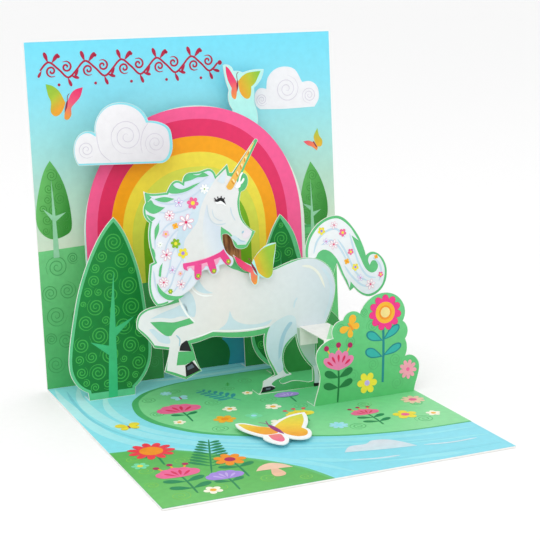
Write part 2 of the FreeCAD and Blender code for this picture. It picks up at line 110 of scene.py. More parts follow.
def standing(gap, depth=0.0):
    """Place of a standing layer's print, from its x and its height up the slant."""
    rise, out = math.sin(LEAN), math.cos(LEAN)
    flat = Matrix(((1, 0, 0, 0),
                   (0, rise, -out, FOLD - gap - out * depth),
                   (0, out, rise, BOARD + rise * depth),
                   (0, 0, 0, 1)))
    return Matrix.Scale(0.001, 4) @ flat


wall = standing(0)


def ink(name, *codes, blend=None, deepen=0.93, rings=False):
    """Satin print: one colour, or a blend of several. A blend is a print's place and the two
    points on it where the colours start and end. With rings it runs out from the first point."""
    finish, tree, base, where, mottle = new_finish(name, 0.46, 0.35, 0.12)
    depth = add(tree, "MapRange", From_Min=0.3, From_Max=0.7, To_Min=deepen, To_Max=1.03)
    mix = add(tree, "Mix")
    mix.data_type = "RGBA"
    mix.blend_type = "MULTIPLY"
    mix.inputs[0].default_value = 1.0
    mix.inputs[6].default_value = paint(codes[0])
    if blend:
        start, end = (blend[0] @ Vector((*point, 0)) for point in blend[1:])
        run = end - start
        along = add(tree, "VectorMath")
        share = add(tree, "Math")
        share.operation = "MULTIPLY_ADD"
        if rings:
            along.operation = "DISTANCE"
            along.inputs[1].default_value = start
            share.inputs[1].default_value = 1 / run.length
            share.inputs[2].default_value = 0
        else:
            along.operation = "DOT_PRODUCT"
            along.inputs[1].default_value = run
            share.inputs[1].default_value = 1 / run.length_squared
            share.inputs[2].default_value = -run.dot(start) / run.length_squared
        tree.links.new(where, along.inputs[0])
        tree.links.new(along.outputs["Value"], share.inputs[0])
        stops = [(i / (len(codes) - 1), code) for i, code in enumerate(codes)]
        tree.links.new(ramp(tree, share.outputs["Value"], *stops), mix.inputs[6])
    tree.links.new(mottle, depth.inputs["Value"])
    tree.links.new(depth.outputs["Result"], mix.inputs[7])
    tree.links.new(mix.outputs[2], base)
    return finish


sky = ink(
    "sky", "#cfe2cb", "#b4dcc9", "#9fe0e0", "#86def0", "#74dcf4", blend=(wall, (0, 55), (0, 133)),
    deepen=0.975)
far_meadow = ink("far_meadow", "#46aa5e", "#5bbd71", "#6fcb82", blend=(wall, (-30, 0), (-62, 55)))
meadow_line = ink("meadow_line", "#429f57")


COAT = 0.03
wet = []


def dab(colour, coat, *outlines):
    """Prints outlines as one flat shape of ink, on top of the coats under it."""
    curve = bpy.data.curves.new("dab", "CURVE")
    curve.dimensions = "2D"
    curve.fill_mode = "BOTH"
    curve.extrude = COAT / 2
    curve.materials.append(colour)
    for outline in outlines:
        spline = curve.splines.new("POLY")
        spline.points.add(len(outline) - 1)
        spline.points.foreach_set("co", [c for p in outline for c in (p[0], p[1], 0, 1)])
        spline.use_cyclic_u = True
    shape = bpy.data.objects.new("dab", curve)
    shape.location.z = (coat + 0.5) * COAT
    bpy.context.collection.objects.link(shape)
    wet.append(shape)


EDGE = 63.45
REACH = 133.3
HORIZON = 54
dab(sky, 0, [(-EDGE, HORIZON), (EDGE, HORIZON), (EDGE, REACH), (-EDGE, REACH)])
dab(far_meadow, 0, [(-EDGE, 0.05), (EDGE, 0.05), (EDGE, HORIZON), (-EDGE, HORIZON)])
near_meadow = ink("near_meadow", "#46aa5e", "#68ce7c", blend=(wall, (30, 0), (56, 0)))
dab(near_meadow, 0.5, [(30, 0.05), (EDGE, 0.05), (EDGE, 53.4), (30, 53.4)])
dab(far_meadow, 1, [(-EDGE, 54), (-45, 54.9), (45, 54.9), (EDGE, 54.2), (EDGE, 53.5), (-EDGE, 53.5)])


def smooth(points, steps=5):
    """A closed outline eased through its points. A third value marks a sharp corner."""
    outline = []
    count = len(points)
    for i in range(count):
        a, b = points[i], points[(i + 1) % count]
        before = a if len(a) > 2 else points[i - 1]
        after = b if len(b) > 2 else points[(i + 2) % count]
        for k in range(steps):
            t = k / steps
            outline.append(tuple(
                0.5 * (2 * a[j] + (b[j] - before[j]) * t
                       + (2 * before[j] - 5 * a[j] + 4 * b[j] - after[j]) * t ** 2
                       + (3 * a[j] - before[j] - 3 * b[j] + after[j]) * t ** 3)
                for j in (0, 1)))
    return outline


def line(points, width, taper=0.25, steps=5):
    """Outline of a drawn line, eased through its points and thinner towards both ends."""
    ends = [(*points[0][:2], 1), *points[1:-1], (*points[-1][:2], 1)]
    path = smooth(ends, steps)[:steps * (len(points) - 1)] + [points[-1][:2]]
    left, right = [], []
    for i, (x, y) in enumerate(path):
        back, ahead = path[max(i - 1, 0)], path[min(i + 1, len(path) - 1)]
        dx, dy = ahead[0] - back[0], ahead[1] - back[1]
        length = math.hypot(dx, dy) or 1
        share = i / (len(path) - 1)
        half = width / 2 * min(1, taper + (1 - taper) * 6 * min(share, 1 - share))
        left.append((x - dy / length * half, y + dx / length * half))
        right.append((x + dy / length * half, y - dx / length * half))
    return left + right[::-1]


def swirl(x, y, radius, turns, start, width, hand=1):
    """A spiral line that runs out from its middle."""
    steps = int(turns * 9)
    points = []
    for i in range(steps + 1):
        angle = start + hand * 2 * math.pi * turns * i / steps
        reach = radius * (0.08 + 0.92 * i / steps)
        points.append((x + reach * math.cos(angle), y + reach * math.sin(angle)))
    return line(points, width, steps=2)


def swirls(colour, coat, turns, width, spots, hand=1):
    """Draws swirls at spots that are each a middle, a radius and a first angle."""
    for x, h, radius, start in spots:
        dab(colour, coat, swirl(hand * x, h, radius, turns, start, width, hand))


swirls(meadow_line, 2, 2.6, 0.3, [
    (-56.5, 47.5, 4.6, 0), (-50, 50.5, 2.4, 2), (-59.8, 37.5, 3.4, 1), (-53, 38, 3.6, 4),
    (-58, 28.5, 4.4, 2.5), (-60.6, 19.5, 2.6, 0), (-55, 18.5, 3.6, 5), (-59.4, 9.5, 3.8, 3),
    (-52, 9, 3.2, 1), (-49.5, 28, 2.8, 3), (50.5, 48, 3.2, 1), (57.5, 45, 4.2, 3), (51.5, 37, 4, 5),
    (60, 34, 3, 2), (55, 24, 4.6, 0), (50, 13, 3.6, 1), (59.5, 11, 3.8, 4), (49, 28, 2.2, 2)])


def patch(colour, coat, points):
    """Prints one eased shape."""
    dab(colour, coat, smooth(points))


deep_green = ink("deep_green", "#14763a")
meadow_in_painted_shade = ink("meadow_in_painted_shade", "#2c8c44")
deep_stream = ink("deep_stream", "#2f9fb4", "#4fb8cc", blend=(wall, (13, 0), (22, 0)))
# Painted shade: a darker patch of meadow on the back panel under the arch, where the arch and the unicorn
# shade it.
dab(meadow_in_painted_shade, 2, [(-20, 0.05), (30, 0.05), (30, 16), (-20, 16)])
patch(deep_stream, 3, [
    (5, 0.05, 1), (24, 0.05, 1), (23, 6), (21.5, 11), (20, 15.5, 1), (12, 15.5, 1), (9, 8)])
patch(deep_green, 4, [
    (-5, 0.05, 1), (-6, 6), (-3, 10.5), (3, 12.4), (9, 11.5), (12.4, 8.6), (13.4, 4.5), (12.4, 0.05, 1)])


def distance(point, a, b):
    """How far a point lies from the straight line between two others."""
    run = b - a
    share = max(0, min(1, (point - a).dot(run) / max(run.length_squared, 1e-9)))
    return (point - a - run * share).length


def swirl_pattern(colour, coat, outline, caps, width, least=1.3, step=0.7):
    """Packs swirls into an outline, each as large as its cap and its neighbours let it be."""
    xs, hs = zip(*outline)
    sides = [(Vector(outline[k - 1]), Vector(outline[k])) for k in range(len(outline))]
    room = {}
    for i in range(int((max(xs) - min(xs)) / step)):
        for j in range(int((max(hs) - min(hs)) / step)):
            spot = Vector((min(xs) + step * i, min(hs) + step * j))
            crossed = sum((a.y > spot.y) != (b.y > spot.y)
                          and spot.x < a.x + (spot.y - a.y) / (b.y - a.y) * (b.x - a.x)
                          for a, b in sides)
            if crossed % 2:
                room[spot.x, spot.y] = min(distance(spot, a, b) for a, b in sides)
    count = 0
    while room:
        cap = caps[count % len(caps)]
        x, h = max(room, key=lambda spot: (min(room[spot], cap), spot[1], spot[0]))
        radius = min(room[x, h], cap)
        if radius < least:
            break
        dab(colour, coat, swirl(x, h, radius - width * 0.4, 1 + radius * 0.45, x + h, width,
                                1 - 2 * (count % 2)))
        for spot in room:
            room[spot] = min(room[spot], math.hypot(spot[0] - x, spot[1] - h) - radius)
        count += 1


crown_green = ink("crown_green", "#2a8a2a", "#66bd62", blend=(wall, (-50.5, 69), (-62.5, 72)))
crown_green_right = ink("crown_green_right", "#2a8a2a", "#5cb558", blend=(wall, (59.5, 63), (48, 67)))
crown_line = ink("crown_line", "#358f35")
pale_trunk = ink("pale_trunk", "#93d2a8")
left_crown = smooth([
    (-56.6, 88.6, 1), (-53.2, 83), (-50.8, 76), (-49.6, 67.5), (-49.9, 61.5), (-53, 59.2), (-57.5, 58.4),
    (-61.2, 60.6), (-63.2, 64.6), (-63, 71), (-61, 79.5), (-59, 85)])
dab(crown_green, 2, left_crown)
swirl_pattern(crown_line, 3, left_crown, (2.6, 1.9, 2.2), 0.26, 1.5)
patch(pale_trunk, 4, [(-57.6, 51.2, 1), (-57.2, 62), (-56.6, 81.5, 1), (-55.9, 70), (-55.2, 51.2, 1)])
patch(pale_trunk, 4.2, [(-57.2, 65.6, 1), (-60.6, 70.4, 1), (-56.9, 67.6, 1)])
patch(pale_trunk, 4.4, [(-56, 65, 1), (-51.6, 68.4, 1), (-56.2, 67.2, 1)])
right_crown = smooth([
    (53, 80.6, 1), (56.4, 75.5), (59, 69), (60.2, 62.5), (59.6, 57), (56, 54.8), (50, 54.8), (47.4, 57.8),
    (47.8, 65), (49.8, 73.5)])
dab(crown_green_right, 2, right_crown)
swirl_pattern(crown_line, 3, right_crown, (2.6, 1.9, 2.2), 0.26, 1.5)
patch(pale_trunk, 4, [(51.8, 48, 1), (52.4, 60), (52.7, 73.5, 1), (53.3, 62), (54, 48, 1)])
patch(pale_trunk, 4.2, [(52.2, 60.4, 1), (48.6, 63.6, 1), (52.5, 62.2, 1)])
patch(pale_trunk, 4.4, [(53.2, 57.6, 1), (57, 60.4, 1), (53.1, 59.6, 1)])

cloud_white = ink("cloud_white", "#eeeef2", deepen=0.975)
cloud_line = ink("cloud_line", "#d8d4e0")
patch(cloud_white, 2, [
    (31.5, 103.2, 1), (29.6, 105.2), (29.6, 109.6), (31.8, 111.6), (34.6, 111.2, 1), (35.4, 115.6),
    (38.6, 118.8), (43, 119.8), (47.6, 118.4), (50.6, 113.2, 1), (54.4, 113.4), (57.4, 111), (57.9, 106.4),
    (55.8, 103, 1), (43, 102.8)])
swirls(cloud_line, 3, 2.6, 0.3, [(43.6, 110.8, 5.6, 4), (53.6, 107.8, 3.4, 1), (32.4, 107, 2.6, 2)])


def stroke(colour, coat, points, width, taper=0.25):
    """Prints one drawn line."""
    dab(colour, coat, line(points, width, taper))


wing_rose = ink("wing_rose", "#ef2f6c", "#f2567c", "#f59a3c", blend=(wall, (-44, 115), (-49, 105)))
wing_lime = ink("wing_lime", "#86c43c", "#a9c634", "#f0a52c", blend=(wall, (-56, 117), (-50, 109)))
wing_rose_small = ink("wing_rose_small", "#ee4070", "#f4904a", blend=(wall, (50, 89), (56, 86)))
wing_lime_small = ink("wing_lime_small", "#8fc63e", "#e8b42e", blend=(wall, (57.5, 94), (56, 88)))
wing_body = ink("wing_body", "#8c1440")
patch(wing_lime, 2, [
    (-49, 110.2, 1), (-51, 114.4), (-53.4, 116.6), (-56.2, 117.5, 1), (-55.6, 113.5), (-54.6, 110.6),
    (-54.9, 107), (-53.4, 105.3), (-51.4, 105.9), (-49.8, 108)])
patch(wing_rose, 2, [
    (-48.6, 109.6, 1), (-46.6, 113.4), (-44.6, 115), (-41.8, 115.6, 1), (-43, 112.2), (-45.2, 109.8),
    (-46.8, 108), (-47, 105.4), (-48.4, 103.7), (-49.8, 104.6)])
patch(wing_body, 3, [(-49.6, 106.4, 1), (-48.9, 109.6), (-48, 111.4, 1), (-48.4, 108.6)])
stroke(wing_body, 3, [(-48.2, 111), (-48, 112.6), (-47.2, 113.6)], 0.25)
patch(wing_rose_small, 2, [
    (55, 88.2, 1), (52.6, 89.2), (50.2, 89, 1), (52, 87.4), (54, 86.6), (56.2, 84.9, 1), (56.6, 86.4)])
patch(wing_lime_small, 2, [
    (55.4, 88.4, 1), (55, 91), (56.8, 94.1, 1), (57.4, 91.2), (58.8, 89), (58.4, 86.8), (56.6, 86.6)])
stroke(wing_body, 3, [(54.6, 88.8), (55.4, 87.6), (56.2, 86.2)], 0.5)


def placed(u, v, x, y, turn):
    """A point of a motif, turned and moved to the motif's place."""
    return x + u * math.cos(turn) - v * math.sin(turn), y + u * math.sin(turn) + v * math.cos(turn)


def round_spot(x, y, radius, flat=1.0, turn=0.0, sides=28):
    """Outline of a round or oval spot."""
    angles = [2 * math.pi * i / sides for i in range(sides)]
    return [placed(radius * math.cos(a), radius * flat * math.sin(a), x, y, turn) for a in angles]


def leaf(x, y, length, width, turn):
    """A leaf or petal that starts at a point and swells towards its round tip."""
    half = [(0.3, 0.3), (0.62, 0.5), (0.9, 0.36)]
    shape = [(0, 0), *half, (1, 0), *[(u, -v) for u, v in half[::-1]]]
    points = [placed(u * length, v * width, x, y, turn) for u, v in shape]
    return smooth([(*points[0], 1), *points[1:]], 4)


crimson = ink("crimson", "#b3123f")
for i in range(5):
    x = -58 + i * 14.4
    vine = [(x, 122.6), (x + 3.4, 125.6), (x + 7.2, 122.8), (x + 10.8, 119.6), (x + 14.4, 122.6)]
    stroke(crimson, 2 + 0.2 * (i % 2), vine, 0.75, taper=0.9)
    swirls(crimson, 2.4, 1.5, 0.7, [(x + 4.4, 122.2, 2.3, 2.2), (x + 10.2, 123.6, 2.3, 5.3)])
    for dx, dh, length, turn in (
            (3.2, 125.4, 4.2, 1.9), (4.6, 125.2, 4.4, 0.9), (10.6, 119.6, 3.6, -1.2),
            (11.8, 120.2, 3.4, -0.3), (0.6, 122.6, 3, -2.1)):
        dab(crimson, 2.6, leaf(x + dx, dh, length, length * 0.34, turn))
    dab(crimson, 2.6, round_spot(x + 7.4, 127.6, 0.62), round_spot(x + 7, 117, 0.55))
dab(crimson, 2.6, round_spot(14.9, 122.6, 0.9))


def press(name, place):
    """Turns the dabs made since the last print into one closed mesh, laid on its panel."""
    bpy.ops.object.select_all(action="DESELECT")
    for shape in wet:
        shape.select_set(True)
    bpy.context.view_layer.objects.active = wet[0]
    bpy.ops.object.convert(target="MESH")
    bpy.ops.object.transform_apply(location=True, rotation=False, scale=False)
    bpy.ops.object.join()
    sheet = bpy.context.object
    bpy.ops.object.mode_set(mode="EDIT")
    bpy.ops.mesh.select_all(action="SELECT")
    bpy.ops.mesh.remove_doubles(threshold=0.002)
    bpy.ops.mesh.normals_make_consistent(inside=False)
    bpy.ops.object.mode_set(mode="OBJECT")
    sheet.data.transform(place)
    sheet.name = sheet.data.name = name
    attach(sheet, "root")
    wet.clear()


press("backdrop_wall_print", wall)


def lying(depth=0.0):
    """Place of a print on the lower panel, from its x and its distance from the fold, which is
    minus towards the front."""
    return Matrix.Scale(0.001, 4) @ Matrix.Translation((0, FOLD, BOARD + depth))


ground = lying()
# Painted light: the stream's back end, by the fold, is made lighter to offset the shade of the wall and
# trees.
stream = ink("stream", "#98ecf6", "#86dff0", "#86dcec", blend=(ground, (-60, -20), (30, -120)), deepen=0.97)
ripple = ink("ripple", "#bdf6fa", "#9be7f2", "#93e3ee", blend=(ground, (-58, -30), (0, -104)), deepen=0.97)
ripple_deep = ink("ripple_deep", "#83d8e8", deepen=0.97)
dab(stream, 0, [(-EDGE, -REACH), (EDGE, -REACH), (EDGE, -0.1), (-EDGE, -0.1)])


def keep_side(outline, axis, limit, sign=1):
    """The part of an outline on one side of a straight cut."""
    kept = []
    for i, b in enumerate(outline):
        a = outline[i - 1]
        da, db = sign * (a[axis] - limit), sign * (b[axis] - limit)
        if (da < 0) != (db < 0):
            t = da / (da - db)
            kept.append((a[0] + (b[0] - a[0]) * t, a[1] + (b[1] - a[1]) * t))
        if db >= 0:
            kept.append(b[:2])
    return kept


for flow, width in (
        ([(-61, -2), (-62, -20), (-61, -40), (-58.5, -60), (-50, -78), (-38, -90), (-22, -104), (-6, -118),
         (4, -132)], 4.2),
        ([(-52, -3), (-55.5, -18), (-55.5, -38), (-51, -58), (-42, -74), (-28, -88), (-10, -99), (12, -108),
         (38, -115), (62, -119)], 4.4),
        ([(-44, -14), (-48.5, -28), (-49, -44), (-44, -62), (-34, -76), (-20, -87), (-4, -95), (16, -103),
         (40, -109), (62, -110)], 3.4),
        ([(-8, -112), (8, -122), (28, -128), (46, -131)], 3.4),
        ([(-24, -8), (-6, -9.5), (14, -9), (40, -7)], 2.4)):
    dab(ripple, 1 + width / 20, keep_side(line(flow, width, taper=0.1), 0, -63.4))
for flow, width in (
        ([(-57.5, -6), (-59, -24), (-58.4, -46), (-53, -64), (-44, -80)], 1.2),
        ([(-34, -84), (-18, -95), (2, -104), (24, -112), (52, -117)], 1.4),
        ([(0, -120), (20, -126), (44, -127), (61, -128)], 1.6),
        ([(-30, -5), (-10, -5.5), (20, -4.5), (60, -4)], 1.4)):
    stroke(ripple_deep, 1.5, flow, width, taper=0.1)


def trim(outlines, margin):
    """The same outlines moved inwards by a margin, with what would cross itself dropped."""
    sides = [(Vector(o[i - 1]), Vector(o[i])) for o in outlines for i in range(len(o))]
    trimmed = []
    for outline in outlines:
        points = [Vector(p) for p in outline]
        kept = []
        for i, point in enumerate(points):
            into = (point - points[i - 1]).normalized()
            out = (points[(i + 1) % len(points)] - point).normalized()
            mean = (into + out).normalized()
            stretch = 1 / max(0.5, mean.dot(out))
            moved = point + Vector((-mean.y, mean.x)) * margin * stretch
            if min(distance(moved, a, b) for a, b in sides) > margin * 0.97:
                kept.append((moved.x, moved.y))
        if len(kept) > 2:
            trimmed.append(kept)
    return trimmed


meadow_rim = ink("meadow_rim", "#49b068", "#55bb72", blend=(ground, (0, -12), (-20, -80)))
# Painted light: the rings' middle, near the standing layers, is made brighter against the shade those
# layers cast on the lower panel.
meadow = ink(
    "meadow", "#68dc90", "#62cd85", "#6dcf8c", "#84db97", "#8bdd9b", blend=(ground, (25, -25), (25, -105)),
    deepen=0.96, rings=True)
meadow_shape = smooth([
    (EDGE, -13.5, 1), (30, -12.6), (5, -13), (-10, -14), (-20, -16), (-30, -20.4), (-36, -26), (-40, -33),
    (-42, -45), (-40.4, -55), (-36.8, -62.8), (-30, -72.8), (-20, -81), (-9, -87), (5, -94), (20, -100),
    (40, -104), (EDGE, -105, 1)])
dab(meadow_rim, 2, meadow_shape)
dab(meadow, 3, [(x + (EDGE - x) * 0.018, y) for x, y in trim([meadow_shape], 0.7)[0]])
dab(meadow_rim, 2.5, [(62, -104.9), (EDGE, -104.9), (EDGE, -13.6), (62, -13.6)])
dab(meadow, 3.2, [(62.1, -104), (EDGE, -104), (EDGE, -14.4), (62.1, -14.4)])
front_hill = ink("front_hill", "#5cb658", "#6fc468", blend=(ground, (-30, -100), (-60, -130)))
front_hill_rim = ink("front_hill_rim", "#62bf74")
hill_shape = smooth([
    (-EDGE, -79.5, 1), (-50, -82), (-40, -88), (-30, -97), (-20, -107), (-15, -113), (-10, -120),
    (-7, -127), (-5, -REACH, 1), (-EDGE, -REACH, 1)])
dab(front_hill_rim, 2, hill_shape)
dab(front_hill, 3, keep_side(keep_side([(x - 1.3, y - 0.6) for x, y in hill_shape], 0, -EDGE), 1, -REACH))
hill_line = ink("hill_line", "#86c955")
swirls(hill_line, 4, 1.9, 0.3, [
    (-58, -89, 3, 0), (-44, -97, 3.4, 2), (-58, -101, 3.6, 3), (-33, -106, 2.8, 1), (-60, -114, 2.6, 4),
    (-41, -125, 3.4, 5), (-55, -126, 3.8, 2), (-24, -124, 3.4, 0), (-13, -128, 2.6, 2)])
meadow_swirl = ink("meadow_swirl", "#5cba74")
swirls(meadow_swirl, 4, 2.4, 0.35, [
    (-33, -31, 3.4, 0), (-20, -25, 3, 2), (10, -24, 3.6, 3), (-35, -48, 3, 1), (-12, -44, 3.6, 4),
    (8, -50, 3.8, 5), (-20, -73, 3.6, 2), (16, -62, 3.4, 0), (25, -92, 3.6, 2), (50, -95, 3.8, 1),
    (38, -71, 3, 4), (56, -78, 3, 0), (0, -31, 2.8, 1)])
mirror_cloud = ink("mirror_cloud", "#dbe2ec", "#cfe6ef", blend=(ground, (20, -108), (20, -118)))
patch(mirror_cloud, 2, [
    (8.4, -113.6, 1), (12.5, -109.2), (18.5, -109.4), (22, -107.2), (27.4, -108.6), (31, -113),
    (33.6, -118.4, 1), (22, -116.6)])
stroke(mirror_cloud, 2, [(7, -121), (16, -123.4), (24, -124)], 1)
stroke(mirror_cloud, 2, [(36, -118.6), (46, -120.6), (56, -120.4)], 0.9)

rose = ink("rose", "#f2689c")
deep_rose = ink("deep_rose", "#e0205a")
scarlet = ink("scarlet", "#f3364c")
orange = ink("orange", "#f7941e")
amber = ink("amber", "#f9b62c")
yellow = ink("yellow", "#f3e23c")
lilac = ink("lilac", "#a98be0")
pale_lilac = ink("pale_lilac", "#c9b2ee")
ivory = ink("ivory", "#fbf6e2", deepen=0.97)
blush = ink("blush", "#f5cbb0")
pale_blue = ink("pale_blue", "#a6e6f2")
mint = ink("mint", "#7ee0ac")
teal_leaf = ink("teal_leaf", "#2f98a0")
stem_green = ink("stem_green", "#1f8a55")
grass_green = ink("grass_green", "#3bb24e")
plum = ink("plum", "#b0145c")


def blossom(x, y, radius, petals, dip=0.42, turn=0.0):
    """Outline of an open flower with round petals."""
    points = []
    for i in range(petals * 10):
        a = 2 * math.pi * i / (petals * 10)
        reach = radius * (1 - dip + dip * abs(math.sin(petals * a / 2)) ** 0.7)
        points.append((x + reach * math.cos(a + turn), y + reach * math.sin(a + turn)))
    return points


def open_flower(x, y, radius, petals, colour, heart, coat=5, turn=0.3, heart_share=0.34):
    """A flower seen from above: round petals and a heart."""
    dab(colour, coat, blossom(x, y, radius, petals, turn=turn))
    dab(heart, coat + 1, round_spot(x, y, radius * heart_share, sides=16))


def cup_flower(x, y, width, colour, vein, stamens=None):
    """A flower seen from the side: five petals that fan up from one point."""
    for i, turn in enumerate((0.62, 1.1, 1.57, 2.04, 2.52)):
        dab(colour, 5 + 0.1 * i, leaf(x, y, width * 0.58, width * 0.36, turn))
    for turn in (0.8, 1.34, 1.8, 2.34):
        foot = placed(width * 0.1, 0, x, y, turn)
        dab(vein, 6, leaf(*foot, width * 0.32, width * 0.07, turn))
    if stamens:
        for i, turn in enumerate((1.12, 1.57, 2.02)):
            tip = placed(width * 0.78, 0, x, y, turn)
            stroke(amber, 4.5 + 0.1 * i, [(x, y), tip], width * 0.045, taper=0.8)
            dab(stamens, 6, round_spot(*tip, width * 0.075, sides=14))


def stalk(x, y, height, colour, leaves=1):
    """A stem down from a flower, with pairs of leaves."""
    stroke(colour, 4.5, [(x, y), (x + 0.2, y - height / 2), (x - 0.2, y - height)], 0.7, taper=0.7)
    for i in range(leaves):
        for turn in (0.4, math.pi - 0.4):
            dab(colour, 4.6, leaf(x, y - height * (0.42 + 0.34 * i), height * 0.42, height * 0.17, turn))


def frond(x, y, length, turn, colour, pairs):
    """A fern: a straight rib with pairs of leaves that get shorter towards its tip."""
    stroke(colour, 4.5, [(x, y), placed(length, 0, x, y, turn)], 0.6, taper=0.5)
    for i in range(pairs):
        share = 0.2 + 0.78 * i / pairs
        size = length * 0.27 * (1.15 - share * 0.75)
        foot = placed(length * share, 0, x, y, turn)
        width = min(size * 0.4, length * 0.5 / pairs)
        for side in (1.05, -1.05):
            dab(colour, 4.6 + 0.02 * i, leaf(*foot, size, width, turn + side))


for x, y, height, leaves in (
        (-26, -48, 13, 1), (-50, -84, 14, 1), (-49, -108, 18, 2), (-29, -104, 16, 1), (-36, -116, 13, 1),
        (34, -80, 14, 2), (17, -46, 11, 1)):
    stalk(x, y, height, stem_green, leaves)
stalk(12, -70, 9, grass_green)
cup_flower(-26, -50, 17, rose, deep_rose)
cup_flower(-49, -111, 15, rose, deep_rose, stamens=plum)
cup_flower(-36, -119, 13, lilac, pale_lilac)
cup_flower(12, -73, 11, yellow, amber, stamens=deep_rose)
cup_flower(34, -82, 11, rose, deep_rose, stamens=plum)
cup_flower(17, -50, 10, lilac, pale_lilac)
open_flower(-50, -84, 8.2, 11, scarlet, orange, turn=0.1, heart_share=0.5)
open_flower(-29, -103, 5.6, 7, orange, plum)
for x, y, r in (
        (4.5, -39, 2.2), (-9, -54, 2.9), (6.5, -58.5, 3.2), (-31, -60, 2.4), (1.5, -76, 3.8),
        (56, -91, 2.8), (-44, -126, 3.2), (37, -58, 2.4)):
    open_flower(x, y, r, 5, ivory, amber, turn=x)
open_flower(-15, -64, 4.2, 6, amber, orange)
open_flower(46, -88, 4.6, 5, yellow, rose, turn=0.8)
open_flower(-58, -96, 3, 6, mint, yellow)
open_flower(19, -88, 3.6, 8, pale_blue, ripple)
open_flower(-24, -26, 2.4, 8, pale_blue, ripple)
open_flower(-4, -65, 3.2, 4, mint, pale_blue)
open_flower(57, -74, 4.6, 9, blush, rose)
frond(-1.2, -46, 21.4, 2.1, teal_leaf, pairs=6)
frond(-39, -112, 32, 1.23, stem_green, pairs=9)
frond(1, -27.5, 4.4, 1.2, grass_green, pairs=2)
frond(-13, -77, 5, 1.9, grass_green, pairs=2)
for x, y, size, colour in ((-21, -34, 4, pale_blue), (-49, -57, 5.4, yellow)):
    for turn in (0.7, 2.4):
        dab(colour, 5, leaf(x, y, size, size * 0.7, turn))
    for turn in (-0.5, 3.7):
        dab(colour, 5.2, leaf(x, y, size * 0.7, size * 0.5, turn))
    stroke(plum, 6, [(x, y - 1.4), (x, y + 1.4)], 0.6)
patch(blush, 5, [
    (-25.5, -117, 1), (-22.5, -113.4), (-18.6, -112), (-15, -114.4), (-13, -118.4, 1), (-18, -117.6)])
patch(ink("mushroom_stem", "#f1c0a0"), 4.8, [
    (-20.4, -117.4, 1), (-18, -117.6, 1), (-17.2, -122), (-18.6, -124), (-21.2, -124), (-21.8, -121.6)])
press("backdrop_floor_print", ground)

# Rainbow: an open arch of card, glued down by a flap behind each foot and held at its top by a
# folded strap. Six bands are printed inside a pale cut margin. Its feet carry the same meadow
# green as the back panel.

SHEET = 0.4
RAINBOW_GAP = 5.6
LEG_TOP = 39

dress(white_board, "rainbow_arch", "rainbow_strap")
arch = standing(RAINBOW_GAP, SHEET)


def band(left, right, crown, spring, steps=48, fullness=0.92):
    """A full-shouldered half ellipse above its spring, straight down to the legs' print."""
    points = []
    for i in range(steps + 1):
        c, r = math.cos(math.pi * i / steps), math.sin(math.pi * i / steps)
        points.append(((right if c > 0 else left) * math.copysign(abs(c) ** fullness, c),
                       spring + (crown - spring) * max(r, 0) ** fullness))
    return [(right, LEG_TOP), *points, (-left, LEG_TOP)]


def cut_lines(name, place):
    """Outlines of a node's printed face, in millimetres on its own plane."""
    shell = bmesh.new()
    shell.from_mesh(nodes[name].data)
    bmesh.ops.remove_doubles(shell, verts=shell.verts, dist=1e-6)
    bmesh.ops.transform(shell, matrix=place.inverted(), verts=shell.verts)
    shell.normal_update()
    shell.faces.index_update()
    face = {f.index for f in shell.faces
            if f.normal.z > 0.9 and all(abs(v.co.z) < 0.05 for v in f.verts)}
    ahead = {}
    for f in shell.faces:
        for corner in f.loops:
            others = [g.index for g in corner.edge.link_faces if g.index != f.index]
            if f.index in face and not any(g in face for g in others):
                ahead[corner.vert] = corner.link_loop_next.vert
    outlines = []
    while ahead:
        vert = next(iter(ahead))
        outline = []
        while vert in ahead:
            outline.append((vert.co.x, vert.co.y))
            vert = ahead.pop(vert)
        outlines.append(outline)
    shell.free()
    return outlines


def foot_print(name, colour):
    """Ground colour on top of the flap that glues a layer to the lower panel."""
    place = lying(SHEET)
    dab(colour, 0, *cut_lines(name, place))
    press(name + "_flap_print", place)


rainbow_margin = ink("rainbow_margin", "#b4e4e0", "#dff0e4", blend=(arch, (-40, 60), (44, 60)), deepen=0.97)
dab(rainbow_margin, 0, *trim(cut_lines("rainbow_arch", arch), 0.1))
bands = (
    (45.95, 45.1, 106.5, 57.7), (41.3, 39, 101.7, 58), (35.8, 34.4, 95, 58), (31.2, 29.2, 88.8, 57),
    (27.4, 26.2, 83, 55), (22.9, 22.5, 77.4, 53), (19.4, 17.6, 71.1, 50))
band_colours = (
    ("#f95c98", "#f4588f"), ("#e72b66", "#e0245c"), ("#fda800", "#fba400"), ("#f6e64a", "#f4dc3a"),
    ("#dfe654", "#d6dc48"), ("#7cbc1c", "#6cae14"))
for i, (outer, inner) in enumerate(zip(bands, bands[1:])):
    colour = ink("band_%d" % (i + 1), *band_colours[i], blend=(arch, (20, 100), (-40, 45)), deepen=0.96)
    dab(colour, 1, band(*outer) + band(*inner)[::-1])
leg_green = ink("leg_green", "#2f8f44", "#48a660", blend=(arch, (0, 0), (0, 40)))
for side in (-1, 1):
    outer, inner = side * 46 + 0.4, side * 17.6
    dab(leg_green, 1, [(outer, 0.1), (outer, LEG_TOP), (inner, LEG_TOP), (inner, 0.1)])
    swirls(meadow_line, 2, 2.6, 0.3, [
        (22, 33, 2.8, 0), (28, 27, 3.6, 2), (21.6, 20, 3, 4), (27.4, 12, 4, 1), (21, 7, 2.6, 3),
        (36, 32, 3.8, 5), (38, 20, 3.4, 2), (36, 8, 4, 0), (43, 26, 2.6, 1), (43, 12, 2.8, 4)], side)
press("rainbow_arch_print", arch)
foot_print("rainbow_arch", stream)

# Butterfly strip: a narrow strip of die-cut card, glued behind the rainbow's rim so that the
# butterfly at its top stands free against the sky.

